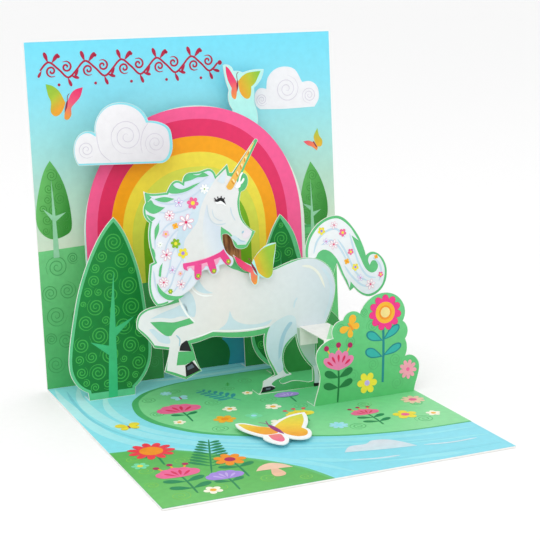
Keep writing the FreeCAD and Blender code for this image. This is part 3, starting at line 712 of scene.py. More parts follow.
dress(white_board, "butterfly_strip")
strip = standing(RAINBOW_GAP)
pale_mint = ink("pale_mint", "#a9efe9", "#bdf0ea", blend=(strip, (0, 94), (0, 122)), deepen=0.97)
strip_rose = ink("strip_rose", "#f0286a", "#f04a74", "#f59440", blend=(strip, (15, 121), (18, 109)))
strip_lime = ink("strip_lime", "#f0a42c", "#c9c22e", "#8cc63c", blend=(strip, (20, 113), (29, 117)))
dab(pale_mint, 0, *trim(cut_lines("butterfly_strip", strip), 0.12))
patch(strip_rose, 1, [
    (15.1, 121.5, 1), (16.5, 120.4), (18.3, 117.4), (19.4, 115.2), (19.5, 112), (18.8, 108.6),
    (17.4, 109.1), (17, 111), (17.3, 112.8, 1), (15.9, 115.8), (15.2, 118.8)])
patch(strip_lime, 1, [
    (20.1, 115.3, 1), (22, 117.3), (24.8, 118.6), (30, 119, 1), (28.6, 116.4), (27.4, 114.4),
    (25.7, 113, 1), (25.5, 110.6), (24.9, 108.8), (23.5, 108.3), (21.8, 109.4), (20.6, 111.6)])
patch(wing_body, 2, [(19.5, 111.2, 1), (20.1, 113.6), (19.9, 116.6, 1), (19.4, 114)])
stroke(wing_body, 2, [(19.7, 116.2), (19.7, 118.2), (20.5, 119)], 0.25)
press("butterfly_strip_print", strip)

# Cloud: three lobes over a flat base, die-cut from card and held off the back panel by a folded
# white strap. Its print is a pale face with faint swirls inside a sky-blue edge.

dress(white_board, "cloud", "cloud_strap")
cloud = standing(11.6, SHEET)
cloud_edge = ink("cloud_edge", "#8fe0ec", deepen=0.97)
cloud_face = ink("cloud_face", "#e4e3ea", "#efeef2", blend=(cloud, (-16, 90), (-36, 104)), deepen=0.98)
dab(cloud_edge, 0, *trim(cut_lines("cloud", cloud), 0.1))
dab(cloud_face, 1, *[
    [(x - 0.45, h) for x, h in outline] for outline in trim(cut_lines("cloud", cloud), 0.75)])
for x, h, radius, turns, start in (
        (-29.2, 97.4, 7, 2.7, 0.6), (-17.9, 94.2, 4.5, 2.4, 2.2), (-45.3, 93.4, 3.4, 2.2, 4.2)):
    dab(cloud_line, 2, swirl(x, h, radius, turns, start, 0.28))
stroke(cloud_line, 2, [(-41, 100), (-40.9, 96), (-39.6, 91.6), (-36, 88.2)], 0.28)
stroke(cloud_line, 2, [(-19.9, 102.6), (-22.6, 99), (-23.8, 94.6), (-23.4, 90.6)], 0.28)
press("cloud_print", cloud)

# Trees: two die-cut crowns on short feet, each tied to the rainbow's leg behind it by a folded
# strap. A pale green cut margin runs round a dark crown drawn with swirls. A low hill joins the
# right one.

dress(white_board, "left_tree", "right_tree", "left_tree_strap", "right_tree_strap")
grove = standing(21.1, SHEET)
tree_rim = ink("tree_rim", "#62c88a", "#5cc488", blend=(grove, (-40, 60), (-40, 0)))
tree_dark = ink("tree_dark", "#068a38", "#047a30", blend=(grove, (-45, 50), (-28, 10)), deepen=0.88)
tree_swirl = ink("tree_swirl", "#3fb04c")
tree_trunk = ink("tree_trunk", "#30ba76", "#4cc886", blend=(grove, (-43, 0), (-41, 45)))
left_cut = cut_lines("left_tree", grove)
dab(tree_rim, 0, *trim(left_cut, 0.12))
left_leaves = keep_side(trim(left_cut, 1.25)[0], axis=1, limit=2.8)
dab(tree_dark, 1, left_leaves)
swirl_pattern(tree_swirl, 2, left_leaves, (4.1, 2.6, 3.3, 2.1, 3.7), 0.42)
patch(tree_trunk, 3, [
    (-45.4, 0.2, 1), (-44.5, 14), (-43.6, 26), (-42, 38), (-40.6, 48.4, 1), (-40.9, 36), (-41.1, 24),
    (-41.3, 12), (-41.8, 0.2, 1)])
patch(tree_trunk, 3.2, [(-44.4, 16.8, 1), (-51.2, 22.4, 1), (-43.8, 20.2, 1)])
patch(tree_trunk, 3.4, [(-41.4, 23.4, 1), (-33.4, 30.5, 1), (-41.2, 27, 1)])
press("left_tree_print", grove)
foot_print("left_tree", stream)

hill_green = ink("hill_green", "#2f9144", "#46a65a", blend=(grove, (40, 0), (52, 20)))
right_cut = trim(cut_lines("right_tree", grove), 0.12)
dab(tree_rim, 0, *right_cut)
right_leaves = smooth([
    (28.8, 62.8, 1), (25.9, 58), (22.8, 50.5), (19.9, 42), (17.3, 31.6), (15.8, 20), (16.2, 13.4),
    (19.4, 8), (24, 4.4), (30, 4.2), (35.4, 6.4), (39.4, 11.4), (40.4, 19), (39.6, 28), (37.6, 38),
    (35, 48), (32.6, 56)])
dab(tree_dark, 2, right_leaves)
swirl_pattern(tree_swirl, 3, right_leaves, (3.7, 2.4, 3, 2), 0.42)
patch(tree_trunk, 4, [
    (26.8, 0.2, 1), (27.4, 16), (27.9, 30), (28.4, 49.5, 1), (29, 30), (29.4, 16), (30.2, 0.2, 1)])
# The brow is open: its eased outline ends before the span that would close it.
hill_brow = smooth([
    (22.4, 0.12, 1), (23.4, 7), (26, 14.6), (29.8, 20.8), (34.4, 24.3), (41.4, 25.5, 1)])[:26]
hill_side = [p for p in right_cut[0] if p[0] > 41.4 and p[1] < 25.5]
hill_side.sort(key=lambda p: math.atan2(p[1], p[0] - 30), reverse=True)
dab(hill_green, 5, hill_brow + hill_side)
press("right_tree_print", grove)
foot_print("right_tree", meadow)

# Unicorn body: body, legs and the neck behind the head in one sheet, white on a green cut margin.
# A folded strap holds it off the back panel; the strap's print of brown wood shows under the chin.

dress(white_board, "unicorn_body")
UNICORN_GAP = 42.6
plinth = standing(UNICORN_GAP, SHEET)
margin_green = ink("margin_green", "#5fc07c", "#4cae66", blend=(plinth, (0, 45), (0, 5)))
coat_white = ink(
    "coat_white", "#e7e9e9", "#e9e5e3", "#dde3e5", "#cbdbe4", blend=(plinth, (-30, 42), (44, 34)),
    deepen=0.985)
shade_blue = ink("shade_blue", "#bfd9e4", "#cfe1e8", blend=(plinth, (14, 10), (22, 30)), deepen=0.98)
soft_blue = ink("soft_blue", "#cbdfe8", deepen=0.98)
deep_blue = ink("deep_blue", "#a6cbdc", deepen=0.98)
far_leg_and_strap_shadow = ink("far_leg_and_strap_shadow", "#a9c4b0", "#b7d3d8", blend=(plinth, (28, 19), (31, 4)), deepen=0.98)
line_white = ink("line_white", "#fafbfa", deepen=0.99)
hoof_black = ink("hoof_black", "#121216")
hoof_gloss = ink("hoof_gloss", "#5b6675")
dab(margin_green, 0, *trim(cut_lines("unicorn_body", plinth), 0.12))
patch(coat_white, 1, [
    (-18, 40.2, 1), (-22.5, 39.4), (-27, 38.7), (-31, 38.2), (-35, 37.5), (-37.8, 35.8), (-38.9, 33),
    (-38.7, 31.4), (-36.9, 29.6), (-34.8, 27.2), (-33, 24.4, 1), (-27.4, 23, 1), (-27.9, 20),
    (-28.9, 14.4, 1), (-25, 12.8), (-21.6, 11.1, 1), (-18.4, 12), (-15.9, 12.9, 1), (-17.8, 16.9, 1),
    (-21.5, 15.6, 1), (-25, 15.8, 1), (-24.6, 18), (-24, 20.9, 1), (-18.9, 20.4, 1), (-20.4, 24.5, 1),
    (-15, 25.4), (-10, 26.7, 1), (-5, 25.9), (0, 25.4), (5, 25.2), (10, 25.4), (13.7, 26, 1), (12.3, 24),
    (11.6, 21), (11.4, 17.5), (12.5, 13.5), (14.4, 9.7), (15.7, 6.8, 1), (9.9, 5.4, 1), (9.3, 2.6, 1),
    (9, 0.9, 1), (14.6, 2.2, 1), (13, 3.5), (14.8, 4.9), (17.6, 5.6), (21.6, 6.2, 1), (19.2, 6.8, 1),
    (18.1, 8.6), (17.6, 13), (18.7, 17.3), (21.2, 20.1), (24.2, 22, 1), (25.1, 17.6), (26.8, 13.6),
    (28.8, 10.6), (30.7, 8.2, 1), (31.2, 5), (30.9, 0.2, 1), (33.1, 0.2, 1), (33.1, 3.5), (32.5, 8),
    (31.8, 12), (31.9, 16.9), (33.4, 20.8), (36.8, 24.9), (40.3, 32.9), (41.3, 39.5), (39.3, 45.7),
    (34.1, 49.7), (28, 50.5), (21.6, 49.1), (15.5, 47.4), (8, 47.2), (4, 47.6), (1.2, 48.8), (-1.5, 50),
    (-4, 52.5), (-6.4, 60), (-9, 70, 1), (-22, 74), (-26, 60), (-22, 46)])
# Far hind leg: printed blue-grey, turning greyer green towards its top as painted shadow of the bush strap
# above it.
patch(far_leg_and_strap_shadow, 2, [
    (24.4, 24.2, 1), (25.2, 17.8), (26.9, 13.6), (28.8, 10.7), (30.9, 8.3, 1), (32.3, 8.4, 1), (31.6, 12.4),
    (31.8, 16.8), (33.2, 20.9, 1), (29.8, 22.4)])
patch(shade_blue, 3, [
    (13.2, 25.7), (16.6, 28), (21, 29.4), (23.8, 28.4), (24.4, 25), (24.1, 21.9), (21.2, 20), (18.7, 17.2),
    (17.7, 13), (18.1, 9), (16, 7.7), (14.2, 10.6), (12.4, 14.2), (11.6, 18.4), (12, 22.6)])
patch(deep_blue, 4, [
    (16.2, 12.6, 1), (16.6, 18), (18.2, 22.6), (21, 26.4), (22.6, 26.2), (20, 22.8), (18.4, 18.4),
    (17.4, 14.4)])
patch(soft_blue, 2, [
    (-34.2, 34.4, 1), (-30, 36), (-25, 37.4), (-20.6, 38.6), (-19.4, 35.4), (-18, 32.8, 1), (-22, 34),
    (-26, 33.6), (-30, 34.4)])
patch(soft_blue, 2, [
    (-33, 30.5, 1), (-30, 28), (-27.6, 27.2), (-27.2, 24.4), (-31, 25.4), (-32.6, 27.4), (-34.8, 30.4)])
patch(soft_blue, 2, [
    (-22.8, 41.8), (-19.8, 43.4), (-17.4, 41.6), (-16.2, 37), (-17, 33.2), (-19, 34.4), (-21, 38)])
stroke(deep_blue, 2, [(-24.6, 27.2), (-23.2, 25.4), (-23.6, 22.8)], 0.5)
stroke(line_white, 3, [(-22.8, 41), (-21.6, 37.6), (-19.6, 34), (-17, 31.2)], 0.7)
patch(soft_blue, 2, [
    (-7.6, 27.3, 1), (-4.8, 29), (-3.5, 31.2), (-2.8, 34, 1), (-1.8, 31.2), (0.4, 29.2), (4, 27.9),
    (9, 27.6), (14.4, 28.6, 1), (12, 26.7), (5, 26.2), (-2, 26.5)])
stroke(line_white, 4, [
    (-19, 25.3), (-14, 26), (-9.6, 27), (-4, 26.3), (2, 25.9), (8, 25.9), (13, 26.2)], 0.45)
stroke(soft_blue, 2, [(36, 46.4), (38.8, 42.6), (39.8, 37.4), (38.6, 31.4), (36, 26.4)], 1.3)
rump_cream = ink("rump_cream", "#ebece0", deepen=0.985)
stroke(rump_cream, 3, [(27.6, 47.8), (31.4, 47), (34.8, 43.8), (37, 38.4)], 1.0, taper=0.1)
stroke(soft_blue, 3, [(23.6, 32), (24, 34.2), (25.2, 35.8)], 0.7)
patch(soft_blue, 2, [
    (-17.8, 49.4, 1), (-17.2, 46), (-15.6, 43.2), (-12.6, 41.6), (-9, 41.3, 1), (-11.6, 42.6),
    (-13.4, 44.8), (-14.4, 47), (-14.8, 49.8, 1)])
stroke(line_white, 3, [(-18.6, 47.2), (-16.8, 43.2), (-13.6, 40.9), (-9.4, 40.4)], 0.5)
patch(margin_green, 3, [
    (-34.3, 33.2, 1), (-30, 32.9), (-25, 32.1), (-19, 33, 1), (-17.3, 30.9, 1), (-20, 30.4), (-24, 29.6),
    (-26.5, 27.2, 1), (-28.6, 27.5), (-31.5, 30)])
patch(hoof_black, 3, [(-23.6, 21.2, 1), (-22.9, 23.4), (-20.8, 24.7), (-20.2, 24.4, 1), (-18.8, 20.4, 1)])
patch(hoof_black, 3, [(-21.6, 15.3, 1), (-18.8, 16.7, 1), (-15.8, 12.8, 1), (-21.5, 11, 1)])
patch(hoof_gloss, 4, [(-21, 14.6, 1), (-18.9, 15.6, 1), (-18, 14.3, 1), (-20.8, 13.4, 1)])
patch(hoof_black, 3, [(9.2, 2.7, 1), (12.6, 2.8), (14.6, 1.8, 1), (12.4, 0.9), (8.4, 0.7, 1)])
patch(hoof_gloss, 4, [(10.6, 2.3, 1), (12.6, 2.2, 1), (12.2, 1.5, 1), (10.4, 1.5, 1)])
dab(hoof_black, 3, [(30.7, 1.5), (33.2, 1.3), (33.2, 0.15), (30.7, 0.15)])
press("unicorn_body_print", plinth)
foot_print("unicorn_body", meadow)


def wood_print(name):
    """Brown print with darker grain lines that run along the slant."""
    finish, tree, base, where, _ = new_finish(name, 0.5, 0.35, 0.12)
    stretch = add(tree, "Mapping", Rotation=(0, math.radians(28), 0), Scale=(900, 120, 180))
    grain = add(tree, "TexNoise", Scale=1, Detail=5)
    tree.links.new(where, stretch.inputs["Vector"])
    tree.links.new(stretch.outputs["Vector"], grain.inputs["Vector"])
    tree.links.new(
        ramp(tree, grain.outputs["Fac"], (0.36, "#70401c"), (0.5, "#97602f"), (0.66, "#b47a46")), base)
    return finish


dress(wood_print("wood_print"), "unicorn_strap")

# Tail: die-cut card, glued behind the rump, its curl reaching past the card's edge. White hair
# drawn with pale strands and sprinkled with small flowers.

dress(white_board, "unicorn_tail")
rump = standing(UNICORN_GAP)
hair_white = ink("hair_white", "#eef0f2", "#e0e8ee", blend=(rump, (34, 60), (58, 38)), deepen=0.98)
strand_blue = ink("strand_blue", "#c3dae8", deepen=0.98)
tail_cut = cut_lines("unicorn_tail", rump)
dab(margin_green, 0, *trim(tail_cut, 0.12))
patch(hair_white, 1, [
    (30.6, 50, 1), (30.8, 54.4), (32.4, 58.6), (35.8, 62.4), (39.8, 64.4), (44.2, 64.5), (48.6, 61.2),
    (51.6, 56.6), (52.6, 55.2, 1), (49.4, 57.6, 1), (51, 53.4), (53, 48.4), (55, 44.2), (57.4, 42.2),
    (59.6, 42.6), (60.6, 44.6), (59.6, 46.6), (58, 46.8), (56.9, 45.2, 1), (56.3, 47.2), (57.2, 49),
    (59.6, 49.2), (62, 47), (63.5, 42.6), (62.4, 37.6), (59.6, 34.8), (56, 33.8), (52.8, 35), (50, 37.6),
    (48.4, 39.6, 1), (47.9, 37, 1), (47, 40), (45.6, 42.6), (43.6, 47.6), (41.4, 50.8), (39.2, 52.6),
    (37, 53.1), (35, 52.2), (33.9, 50.4, 1)])
for strand in (
        [(33, 52), (34.6, 56.6), (38.4, 60), (43, 60.6), (46.6, 57)],
        [(36.4, 55), (40.6, 56.4), (44, 53.4), (47, 48)],
        [(43.4, 56.6), (46.4, 52), (49, 46.4), (52, 41.4), (56, 39)],
        [(48.6, 58.4), (50, 53), (52.4, 46), (55.6, 41.2), (59.4, 40)],
        [(46, 46), (49, 41.6), (53.4, 37.6), (58, 36.8)],
        [(58.4, 48), (61, 45.6), (62, 42), (60.8, 38.6)]):
    stroke(strand_blue, 2, strand, 0.8)


def star_flower(x, y, radius, petals, colour, heart, coat=4):
    """A small flower of narrow petals, drawn as an outline on white."""
    for i in range(petals):
        turn = 0.2 + 2 * math.pi * i / petals
        dab(colour, coat + 0.05 * i, leaf(x, y, radius * 1.05, radius * 0.5, turn))
        foot = placed(radius * 0.2, 0, x, y, turn)
        dab(line_white, coat + 1 + 0.05 * i, leaf(*foot, radius * 0.74, radius * 0.28, turn))
    dab(heart, coat + 2, round_spot(x, y, radius * 0.17, sides=12))


def sprinkle(coat, *sorts):
    """Strews small flowers: each sort is how it is drawn, petals, colour, heart and its spots."""
    for flower, petals, colour, heart, spots in sorts:
        for x, h, radius in spots:
            flower(x, h, radius, petals, colour, heart, coat=coat)


soft_rose = ink("soft_rose", "#efbfd2")
bright_lime = ink("bright_lime", "#8cb81c")
sprinkle(4, (open_flower, 5, yellow, lilac, [(36.6, 60.4, 1.6), (50.6, 45, 1.5)]),
         (open_flower, 5, rose, yellow, [(45.6, 59, 1.6), (48.8, 51.2, 1.3), (61.6, 41, 1.2)]),
         (star_flower, 6, soft_rose, deep_rose, [(42, 62.2, 1.5), (41.6, 54.8, 1.9), (57, 37.6, 2)]),
         (star_flower, 5, pale_lilac, rose, [(38.4, 56.2, 1.3), (52.6, 40.6, 1.3)]),
         (open_flower, 4, amber, orange, [(47, 47.6, 1.2), (59.8, 48.2, 0.9)]))
press("unicorn_tail_print", rump)

# Head: head, horn, mane and collar in one die-cut sheet, raised off the body on two foam pads.
# White on the green cut margin, with blue strands, small flowers, a closed eye and a pink collar.

dress(white_board, "unicorn_head")


def foam_pad(name):
    """White foam: round cells in two pale colours."""
    finish, tree, base, where, _ = new_finish(name, 0.85, 0.2, 0.2)
    cells = add(tree, "TexVoronoi", Scale=2200)
    tree.links.new(where, cells.inputs["Vector"])
    tree.links.new(ramp(tree, cells.outputs["Distance"], (0, "#dcdcd8"), (0.5, "#f4f4f1")), base)
    return finish


dress(foam_pad("foam"), "head_pad_upper", "head_pad_lower", "back_butterfly_pad", "front_butterfly_pad")
PAD = 2
face = standing(UNICORN_GAP, SHEET + PAD + SHEET) @ Matrix.Translation((-1.1, 0.4, 0))
face_white = ink(
    "face_white", "#e6e6e6", "#e2e4e5", "#e3e3e2", blend=(face, (-4, 76), (-10, 56)), deepen=0.985)
mane_white = ink("mane_white", "#e7eaf2", "#d9e2ef", blend=(face, (-30, 60), (-14, 66)), deepen=0.985)
mane_blue = ink("mane_blue", "#c8dcea", "#d9e6ee", blend=(face, (-18, 60), (-8, 84)), deepen=0.985)
strand_soft = ink("strand_soft", "#cbdaea", deepen=0.98)
head_cut = cut_lines("unicorn_head", face)
dab(margin_green, 0, *trim(head_cut, 0.12))
dab(mane_white, 1, *[keep_side(outline, 0, -5.2, -1) for outline in trim(head_cut, 0.85)])
for outline in trim(head_cut, 0.12):
    dab(mane_white, 1.5, keep_side(keep_side(outline, 1, 56, -1), 0, -26.6))
patch(face_white, 2, [
    (-6.3, 83, 1), (-5.4, 84, 1), (-1.6, 87, 1), (-1.2, 84.4, 1), (1, 83.6), (2.6, 82.4, 1), (3.2, 78, 1),
    (2.3, 73.4), (3.6, 67.4), (7.8, 62.9, 1), (6.8, 60.6), (5, 58.2, 1), (1.6, 58.4, 1), (0.4, 60.8),
    (-1.2, 63.2), (-4.6, 65.8, 1), (-4.9, 60), (-3.4, 55.8, 1), (-10, 53.6), (-18.6, 53.2, 1),
    (-19.5, 58.8), (-19, 62), (-16.5, 65.2), (-13.8, 68.4), (-12.5, 72.9), (-10.2, 77.5)])
patch(mane_blue, 3, [
    (-6.2, 83, 1), (-10.1, 77.6), (-12.4, 73), (-13.7, 68.5), (-16.4, 65.3), (-19, 62), (-19.6, 58),
    (-19.8, 54, 1), (-21.8, 57), (-22.4, 62), (-20.6, 67), (-16.6, 71), (-14.4, 75.6), (-11.4, 80)])
neck_shade = ink(
    "neck_shade", "#e4e6e6", "#dbe2ea", "#d3dde9", blend=(face, (-12, 60), (-5.4, 62)), deepen=0.985)
patch(neck_shade, 3, [
    (-9.8, 74.4, 1), (-9.5, 71.6), (-9.1, 69), (-7.4, 66.9), (-4.8, 66, 1), (-4.9, 62.4), (-4.2, 59),
    (-3, 56, 1), (-6, 55.2), (-11.6, 53.6, 1), (-12, 60), (-11.8, 66), (-10.8, 71)])
for strand in (
        [(-9, 84.4), (-13, 82), (-18, 79.4), (-24, 78.8)],
        [(-10.4, 81), (-15, 78), (-20.4, 76), (-26, 76), (-31, 78.6)],
        [(-12.6, 77), (-17.4, 73.4), (-22.6, 72.4), (-28, 73)],
        [(-15, 72), (-20, 69.6), (-25, 68.4), (-28.6, 65)],
        [(-17.6, 68), (-22.6, 65.4), (-26, 61), (-27.4, 55.4)],
        [(-20.4, 62), (-24, 58), (-25.6, 52), (-28, 47)],
        [(-20.6, 55), (-23.4, 50.6), (-25.6, 45.6), (-29.4, 42.8)],
        [(-19.4, 51), (-21.6, 47), (-24.4, 43.4)],
        [(-9, 85.8), (-12, 84.6), (-15.4, 84)],
        [(-30.6, 60), (-30, 66), (-28, 70.4)],
        [(-31.6, 52), (-31, 46), (-29, 42)],
        [(-17, 48.8), (-19, 46), (-21, 43.6)]):
    stroke(strand_soft, 4, strand, 0.6)
for gap in (
        [(-24.6, 80.2, 1), (-23.4, 82.4), (-22.6, 82.9, 1), (-21.5, 81.6), (-19.4, 80.8), (-17, 81.2),
         (-14.6, 82), (-12, 82.7, 1), (-14, 81.4), (-17, 80), (-20.4, 79.4), (-23, 79.5)],
        [(-18, 83.4, 1), (-17.2, 85.6), (-15.9, 86.5, 1), (-14.4, 85.7), (-12.4, 85.4), (-10.4, 86.2),
         (-8.4, 84.9, 1), (-10.4, 84.6), (-13, 84.6), (-15.4, 83.8)],
        [(-29.8, 78, 1), (-26, 78.5), (-22.2, 77.5, 1), (-25, 76.6), (-27.6, 76.9)],
        [(-33, 76.4, 1), (-31.2, 77.8), (-30, 76.2), (-28, 75.2), (-26, 74.7, 1), (-28, 73.4), (-30, 72.8),
         (-31.8, 73.2), (-33.4, 74.8)],
        [(-33.4, 80.4, 1), (-33.1, 78.4), (-32.2, 77.4, 1), (-30.8, 78.8, 1)],
        [(-33.2, 72.8, 1), (-32.2, 71.2), (-31.2, 70.2), (-29.8, 71.2, 1), (-31.4, 72)],
        [(-30.5, 63, 1), (-30.3, 67), (-28.6, 69.4, 1), (-28.7, 66.8), (-29.7, 64.4)],
        [(-31.6, 60.4, 1), (-31.2, 56.4), (-30.6, 57.4), (-30.9, 59.4)],
        [(-29.8, 50, 1), (-29.2, 53), (-28, 54.6, 1), (-28.6, 52), (-29, 49.6)],
        [(-30.6, 47.4, 1), (-30.3, 44.4), (-28.8, 42.2), (-26.2, 40.6), (-22.8, 40.6), (-20.2, 41.8, 1),
         (-23.6, 41.8), (-26.8, 42.8), (-28.9, 44.6)],
        [(4.7, 84.6, 1), (10.2, 94.8), (10.6, 96.6), (9.8, 96), (2.2, 82.4, 1), (3.6, 82.4)],
        [(4, 82, 1), (5.6, 81.2), (5.8, 83.2), (5, 83.8)],
        [(3.6, 79.6, 1), (5.8, 80.4, 1), (3.8, 77.8, 1), (3, 78.6, 1)]):
    patch(margin_green, 5, gap)
horn_gold = ink("horn_gold", "#f0b446", "#f7cf74", blend=(face, (0, 80), (9, 95)))
horn_shade = ink("horn_shade", "#dd8f1e")
horn_cream = ink("horn_cream", "#fbe4b0")
patch(horn_gold, 6, [
    (-1.8, 80.4, 1), (-1.2, 79.4), (0, 79.1), (1, 79.9, 1), (3.4, 84), (6, 88.6), (9.2, 94.2),
    (10.3, 96.2, 1), (9, 95), (6.2, 91.4), (2, 85.8)])
for h in (81.7, 84.4, 87.1, 89.6, 92):
    left, right = (-1.1 + 0.73 * (h - 79.7), h + 0.7), (0.7 + 0.575 * (h - 80.6), h - 0.7)
    stroke(horn_cream, 7, [(left[0] + 0.5, h + 1.3), (right[0] + 0.3, h)], 0.6, taper=0.4)
    stroke(horn_shade, 7.5, [left, right], 0.5, taper=0.4)
patch(mane_blue, 5, [(-5.2, 82.6, 1), (-3.8, 84.4), (-1.9, 86, 1), (-2, 83.4), (-2.8, 81.6)])
patch(line_white, 5, [(1.6, 80, 1), (3.6, 82.6), (4, 81.6), (3.8, 79.9), (2.6, 79.4)])
stroke(line_white, 5.2, [(3.3, 81.4), (4.1, 84), (5, 85.2)], 0.7)
stroke(line_white, 5.4, [(3, 80.8), (4.5, 81.5), (5.4, 83)], 0.8)
cheek_line = ink("cheek_line", "#cbd8e2", deepen=0.985)
stroke(cheek_line, 4, [
    (-9.6, 74.4), (-9.4, 71), (-8.4, 68.4), (-6.6, 66.9), (-4.2, 66.6), (-2.6, 66.9)], 0.45)
stroke(cheek_line, 4, [(-7.8, 72.6), (-7.2, 69.8), (-5.4, 68.3), (-3.8, 67.9)], 0.3)
stroke(cheek_line, 4, [(-0.5, 72.6), (0, 70), (1.2, 67.6)], 0.45)
patch(soft_blue, 4, [(-1, 61.6, 1), (0.6, 62), (3, 60.2), (5, 59.4), (4.8, 58.5), (1.7, 58.7, 1)])
muzzle_rose = ink("muzzle_rose", "#eadfe8", deepen=0.985)
dab(muzzle_rose, 5, round_spot(5.4, 62.2, 1.9, 0.72, 0.9))
dab(deep_blue, 6, round_spot(4, 63, 0.55, 0.7, 0.8, sides=14))
stroke(deep_blue, 6, [(1.8, 61), (3, 59.8), (4.6, 59.5)], 0.3)
lash_black = ink("lash_black", "#17171c")
patch(line_white, 5.5, [(-6.2, 75.2), (-4.4, 75.5), (-2.6, 74.4), (-2.4, 73.3), (-4.2, 74.2), (-5.8, 74.2)])
patch(lash_black, 6, [
    (-6.9, 75.5, 1), (-5.6, 76), (-4.2, 76.5), (-3, 75.8), (-2.2, 73.7, 1), (-3.2, 74.6), (-4.3, 75.3),
    (-5.6, 75)])
for root, tip in (((-6, 75.5), (-6.7, 76.6)), ((-5.1, 75.9), (-5.4, 77)),
                  ((-4.1, 76), (-3.9, 77.1)), ((-3.2, 75.6), (-2.6, 76.4))):
    stroke(lash_black, 6.5, [root, tip], 0.42, taper=0.5)
collar_pink = ink("collar_pink", "#f04a97", "#ea3b86", blend=(face, (-20, 52), (-4, 57)))
collar_soft = ink("collar_soft", "#f6a9c8")
patch(collar_soft, 5, [
    (-20, 52.6, 1), (-18.8, 51), (-17.4, 51.8), (-15.8, 50.2), (-12.8, 50.4), (-11.4, 51.8), (-9.8, 51.4),
    (-6.8, 52), (-5.6, 53.8), (-4, 53.4), (-2.4, 54, 1), (-3.8, 57, 1), (-10, 55), (-20, 53.4, 1)])
patch(collar_pink, 6, [
    (-20.2, 53.6, 1), (-14.7, 53.9), (-10.2, 54.7), (-5.7, 56.3), (-4, 57.4, 1), (-3.2, 55.8, 1),
    (-5.4, 54.6), (-10, 53.3), (-14.6, 52.5), (-18.6, 52.2), (-18.4, 50.7, 1), (-20, 51.6)])
for tab in (
        [(-15.8, 52.6, 1), (-15.9, 47.9), (-14.5, 47), (-13.3, 48.4), (-13, 52.6, 1)],
        [(-10.9, 53.6, 1), (-9.6, 49.4), (-8, 48.6), (-7.2, 50), (-8.2, 54.2, 1)],
        [(-5.9, 55.2, 1), (-3.6, 51.8), (-2, 51.4), (-1.3, 52.8), (-3.6, 56.4, 1)]):
    patch(collar_pink, 6.3, tab)
for x, h in ((-14.5, 48.4), (-8.2, 49.6), (-2.3, 52.6)):
    open_flower(x, h, 0.95, 5, bright_lime, yellow, coat=7)
sprinkle(6, (open_flower, 5, yellow, lilac, [(-20, 57.4, 2)]),
         (open_flower, 6, rose, yellow, [(-15.2, 75.4, 2.3)]),
         (star_flower, 6, soft_rose, deep_rose, [(-18.2, 68.6, 3), (-26.4, 57.4, 2.2), (-21.4, 46, 1.7)]),
         (star_flower, 7, line_white, bright_lime, [(-10.4, 80.2, 1.7), (-28.6, 61.4, 1.1)]),
         (open_flower, 4, amber, orange, [(-22.4, 67.6, 1.2)]),
         (open_flower, 6, bright_lime, yellow, [(-22.6, 61.2, 1.9), (-25.6, 43.8, 1)]),
         (star_flower, 8, soft_rose, deep_rose, [(-24.4, 71.6, 1.9), (-28, 47.4, 1.9)]),
         (star_flower, 5, pale_lilac, rose, [(-20.6, 76, 1.7), (-24.4, 51.6, 1.4)]),
         (open_flower, 5, soft_rose, amber, [(-26.2, 65, 1.4), (-21.4, 50, 1)]))
press("unicorn_head_print", face)

# Butterfly over the unicorn's back, on its own foam pad, in the same layer as the head. Pale edge,
# rose and amber wings on the left, lime on the right.

dress(white_board, "back_butterfly")
perch_rose = ink("perch_rose", "#ee2f66", "#f0487a", "#f69a34", blend=(face, (0, 54), (8, 43)))
perch_lime = ink("perch_lime", "#f2a32c", "#c3bf2c", "#98bf34", blend=(face, (8, 50), (14.5, 52)))
dab(pale_mint, 0, *trim(cut_lines("back_butterfly", face), 0.1))
patch(perch_rose, 1, [
    (0, 54.4, 1), (2.6, 52.8), (5, 51), (7, 49.6), (8, 47), (9.2, 46, 1), (8.9, 43.4), (7.8, 42.8),
    (6.6, 44.6), (6.4, 47.4, 1), (4, 48.6), (1.6, 51)])
patch(perch_lime, 1, [
    (8, 52.6, 1), (10, 54.7), (12.5, 56.4), (17.2, 57.5, 1), (16.6, 54.4), (16, 51.6), (15.6, 48, 1),
    (15.2, 46), (14, 44.8), (12.4, 44.9), (10.6, 46.2), (9.3, 47.8)])
patch(wing_body, 2, [(6.7, 51.6, 1), (8.6, 48.6), (9.3, 46, 1), (8.2, 47.6), (7, 49.8)])
stroke(wing_body, 2, [(6.9, 51.2), (6.4, 52.4), (5.6, 52.9)], 0.3)
press("back_butterfly_print", face)

# Flower bush: round lobes on a straight foot, held by a folded strap from the hind leg. Big simple
# flowers on mid green. The front corner of the strap's top is coloured light green.

dress(white_board, "flower_bush", "bush_strap")
bed = standing(64.6, SHEET)
bush_green = ink("bush_green", "#56bd70", "#6ac982", blend=(bed, (40, 0), (48, 34)), deepen=0.95)
bush_edge = ink("bush_edge", "#9ad8a6", "#7fcf96", blend=(bed, (20, 0), (30, 0)))
bush_swirl = ink("bush_swirl", "#58b971")
lobe_teal = ink("lobe_teal", "#2cb0a8")
vein_teal = ink("vein_teal", "#14868a")
bush_rose = ink("bush_rose", "#ee7fae")
bush_cut = cut_lines("flower_bush", bed)
dab(ink("strap_green", "#9fe6a8"), 0, [(37.5, -44.2), (26.6, -62.8), (37.5, -62.8)])
press("bush_strap_print", lying(24.5))
dab(bush_edge, 0, *trim(bush_cut, 0.1))
dab(bush_green, 1, *[keep_side(outline, 1, 0.12) for outline in ([
    (x, h - 0.5 if h < 1 else h) for x, h in cut] for cut in trim(bush_cut, 0.22))])
swirls(bush_swirl, 2, 2.4, 0.35, [
    (26, 7, 3, 0), (37, 9.5, 2.8, 2), (55, 13.5, 2.8, 4), (45.6, 27.5, 2.6, 1), (36.4, 22.6, 2.4, 3),
    (55.4, 4.4, 2.8, 5), (32.6, 28, 2, 2), (45.4, 12.8, 2.6, 0), (28.6, 22.8, 1.6, 4), (42.4, 33, 1.8, 3)])
